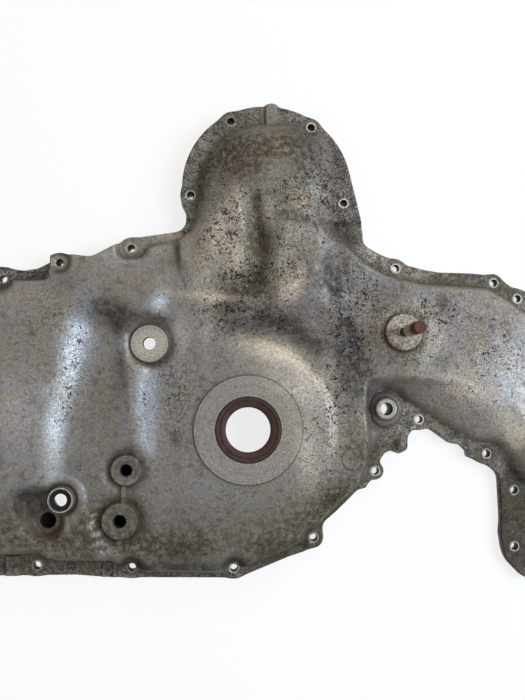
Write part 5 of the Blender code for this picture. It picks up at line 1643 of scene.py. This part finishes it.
def makeStud():
    low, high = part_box("tensioner_stud")
    centre = ((low.x + high.x) / 2, (low.y + high.y) / 2)
    neck = studSizes["neck"]
    head = studSizes["head"]
    shoulder = bosses["stud"][2] + studSizes["neckLength"]
    profile = (
        (0.0, low.z),
        (neck - 0.0006, low.z),
        (neck, low.z + 0.0006),
        (neck, shoulder),
        (neck + 0.0003, shoulder + 0.0002),
        (head - 0.0002, shoulder + 0.0017),
        (head, shoulder + 0.0021),
        (head, high.z - 0.0011),
        (head - 0.0003, high.z - 0.0004),
        (head - 0.0009, high.z),
        (head - 0.0024, high.z - 0.0002),
        (0.0, high.z - 0.0003),
    )
    piece = turnedPiece("rustyStud", profile, 48, centre)
    return piece, shoulder, high.z


def studSteel(shoulder, top):
    look = {
        "stops": (  # from the shoulder up to the end
            (0.0, (0.045, 0.045, 0.038)),
            (0.04, (0.46, 0.43, 0.33)),
            (0.50, (0.40, 0.34, 0.25)),
            (0.66, (0.095, 0.045, 0.028)),
            (1.0, (0.082, 0.030, 0.016)),
        ),
        "speck": (0.030, 0.018, 0.013),
        "metallic": 0.15,
        "specular": 0.25,
        "roughness": 0.62,
    }
    made = bpy.data.materials.new("rustedStud")
    net = NodeTree(made)
    coords = net.places()
    parts = net.nodes.new("ShaderNodeSeparateXYZ")
    net.links.new(coords, parts.inputs[0])
    height = net.maths("DIVIDE", net.maths("SUBTRACT", parts.outputs[2], shoulder), top - shoulder)
    wobble = net.times(net.maths("SUBTRACT", net.noise(coords, 300, 3, 0.6), 0.5), 0.25)
    bare = net.ramp(net.maths("ADD", height, wobble), look["stops"])
    speckle = net.noise(coords, 620, 5, 0.7)
    net.finish({
        "Base Color": net.mix(net.grey(speckle, 0.45, 0.66, 0, 0.7), bare, look["speck"]),
        "Metallic": look["metallic"],
        "Specular IOR Level": look["specular"],
        "Roughness": look["roughness"],
        "Normal": net.bump(speckle, 0.7, 0.0003),
    })
    return made


def dress(piece, finish, slot, *nodes):
    piece.data.materials.clear()
    piece.data.materials.append(finish)
    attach(piece, "root")
    if nodes:
        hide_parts(*nodes)


cover = makeCasting()
dress(cover, castAluminium(), "cast_aluminium", "cover_casting")
print("casting dressed")

seal = makeSeal()
dress(seal, sealRubber(), "seal_rubber", "crank_seal")
stud, shoulderZ, topZ = makeStud()
dress(stud, studSteel(shoulderZ, topZ), "stud_steel", "tensioner_stud")
steel = plainSteel()
for name in ("seal_case", "seal_spring"):
    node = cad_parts[name]
    node.data.materials.clear()
    node.data.materials.append(steel)
print("seal and stud ready")

# Floor, light and camera
floorLook = {"size": 9.0, "z": -0.0006, "colour": (0.86, 0.86, 0.86), "roughness": 0.9, "shown": 0.80}
bpy.ops.object.select_all(action="DESELECT")
bpy.ops.mesh.primitive_plane_add(size=floorLook["size"], location=(0, 0, floorLook["z"]))
floor = bpy.context.object
floor.name = "paleFloor"
made = bpy.data.materials.new("paleFloor")
net = NodeTree(made)
net.finish({"Base Color": floorLook["colour"], "Roughness": floorLook["roughness"]})
glow = net.nodes.new("ShaderNodeEmission")
glow.inputs["Strength"].default_value = 1.0
lit = net.nodes["Principled BSDF"].outputs[0]
net.mixShader(net.times(net.seen(), floorLook["shown"]), lit, glow.outputs[0], "Material Output")
floor.data.materials.append(made)

# the world lights the cover softly, and is white where it is seen
skyLook = {"colour": (0.95, 0.97, 1.0), "strength": 0.28}
world = bpy.data.worlds.new("studio")
bpy.context.scene.world = world
net = NodeTree(world)
sky = net.nodes.new("ShaderNodeBackground")
net.fill(zip(sky.inputs, (skyLook["colour"], skyLook["strength"])))
white = net.nodes.new("ShaderNodeBackground")
net.fill(zip(white.inputs, ((1, 1, 1), 1.0)))
net.mixShader(net.seen(), sky.outputs[0], white.outputs[0], "World Output")

# Soft boxes: name, place, size, watts, colour; all look at the cover's middle
lamps = (
    ("windowRight", (2.40, 0.04, 2.02), (1.30, 1.90), 108, (0.78, 0.88, 1.0)),
    ("warmUpperRight", (0.80, 1.70, 1.25), (0.70, 0.70), 18, (1.0, 0.84, 0.62)),
    ("weakLeft", (-1.3, -0.6, 1.2), (1.0, 1.0), 3, (1.0, 0.96, 0.92)),
)
for name, place, size, watts, colour in lamps:
    bpy.ops.object.light_add(type="AREA", location=place)
    lamp = bpy.context.object
    lamp.name = name
    lamp.data.shape = "RECTANGLE"
    lamp.data.size, lamp.data.size_y = size
    lamp.data.energy = watts
    lamp.data.color = colour
    lamp.rotation_euler = (Vector((0, 0, 0.02)) - Vector(place)).to_track_quat("-Z", "Y").to_euler()

cameraPlace = {
    "eye": (-0.03149, 0.03337, 0.650),  # from the crank's axis
    "aim": (0.01316, 0.07473, 0.040),
    "lens": 33.54,
}
bpy.ops.object.camera_add()
camera = bpy.context.object
eye = Vector(cameraPlace["eye"]) + Vector((crankX, crankY, 0))
aim = Vector(cameraPlace["aim"]) + Vector((crankX, crankY, 0))
forward = (aim - eye).normalized()
right = forward.cross(Vector((0, 1, 0))).normalized()
up = right.cross(forward)
camera.matrix_world = Matrix.Translation(eye) @ Matrix((right, up, -forward)).transposed().to_4x4()
camera.data.sensor_width = 36
camera.data.lens = cameraPlace["lens"]
camera.data.clip_start = 0.01
camera.data.clip_end = 20
bpy.context.scene.camera = camera
bpy.context.scene.view_settings.view_transform = "Standard"

print("ready")
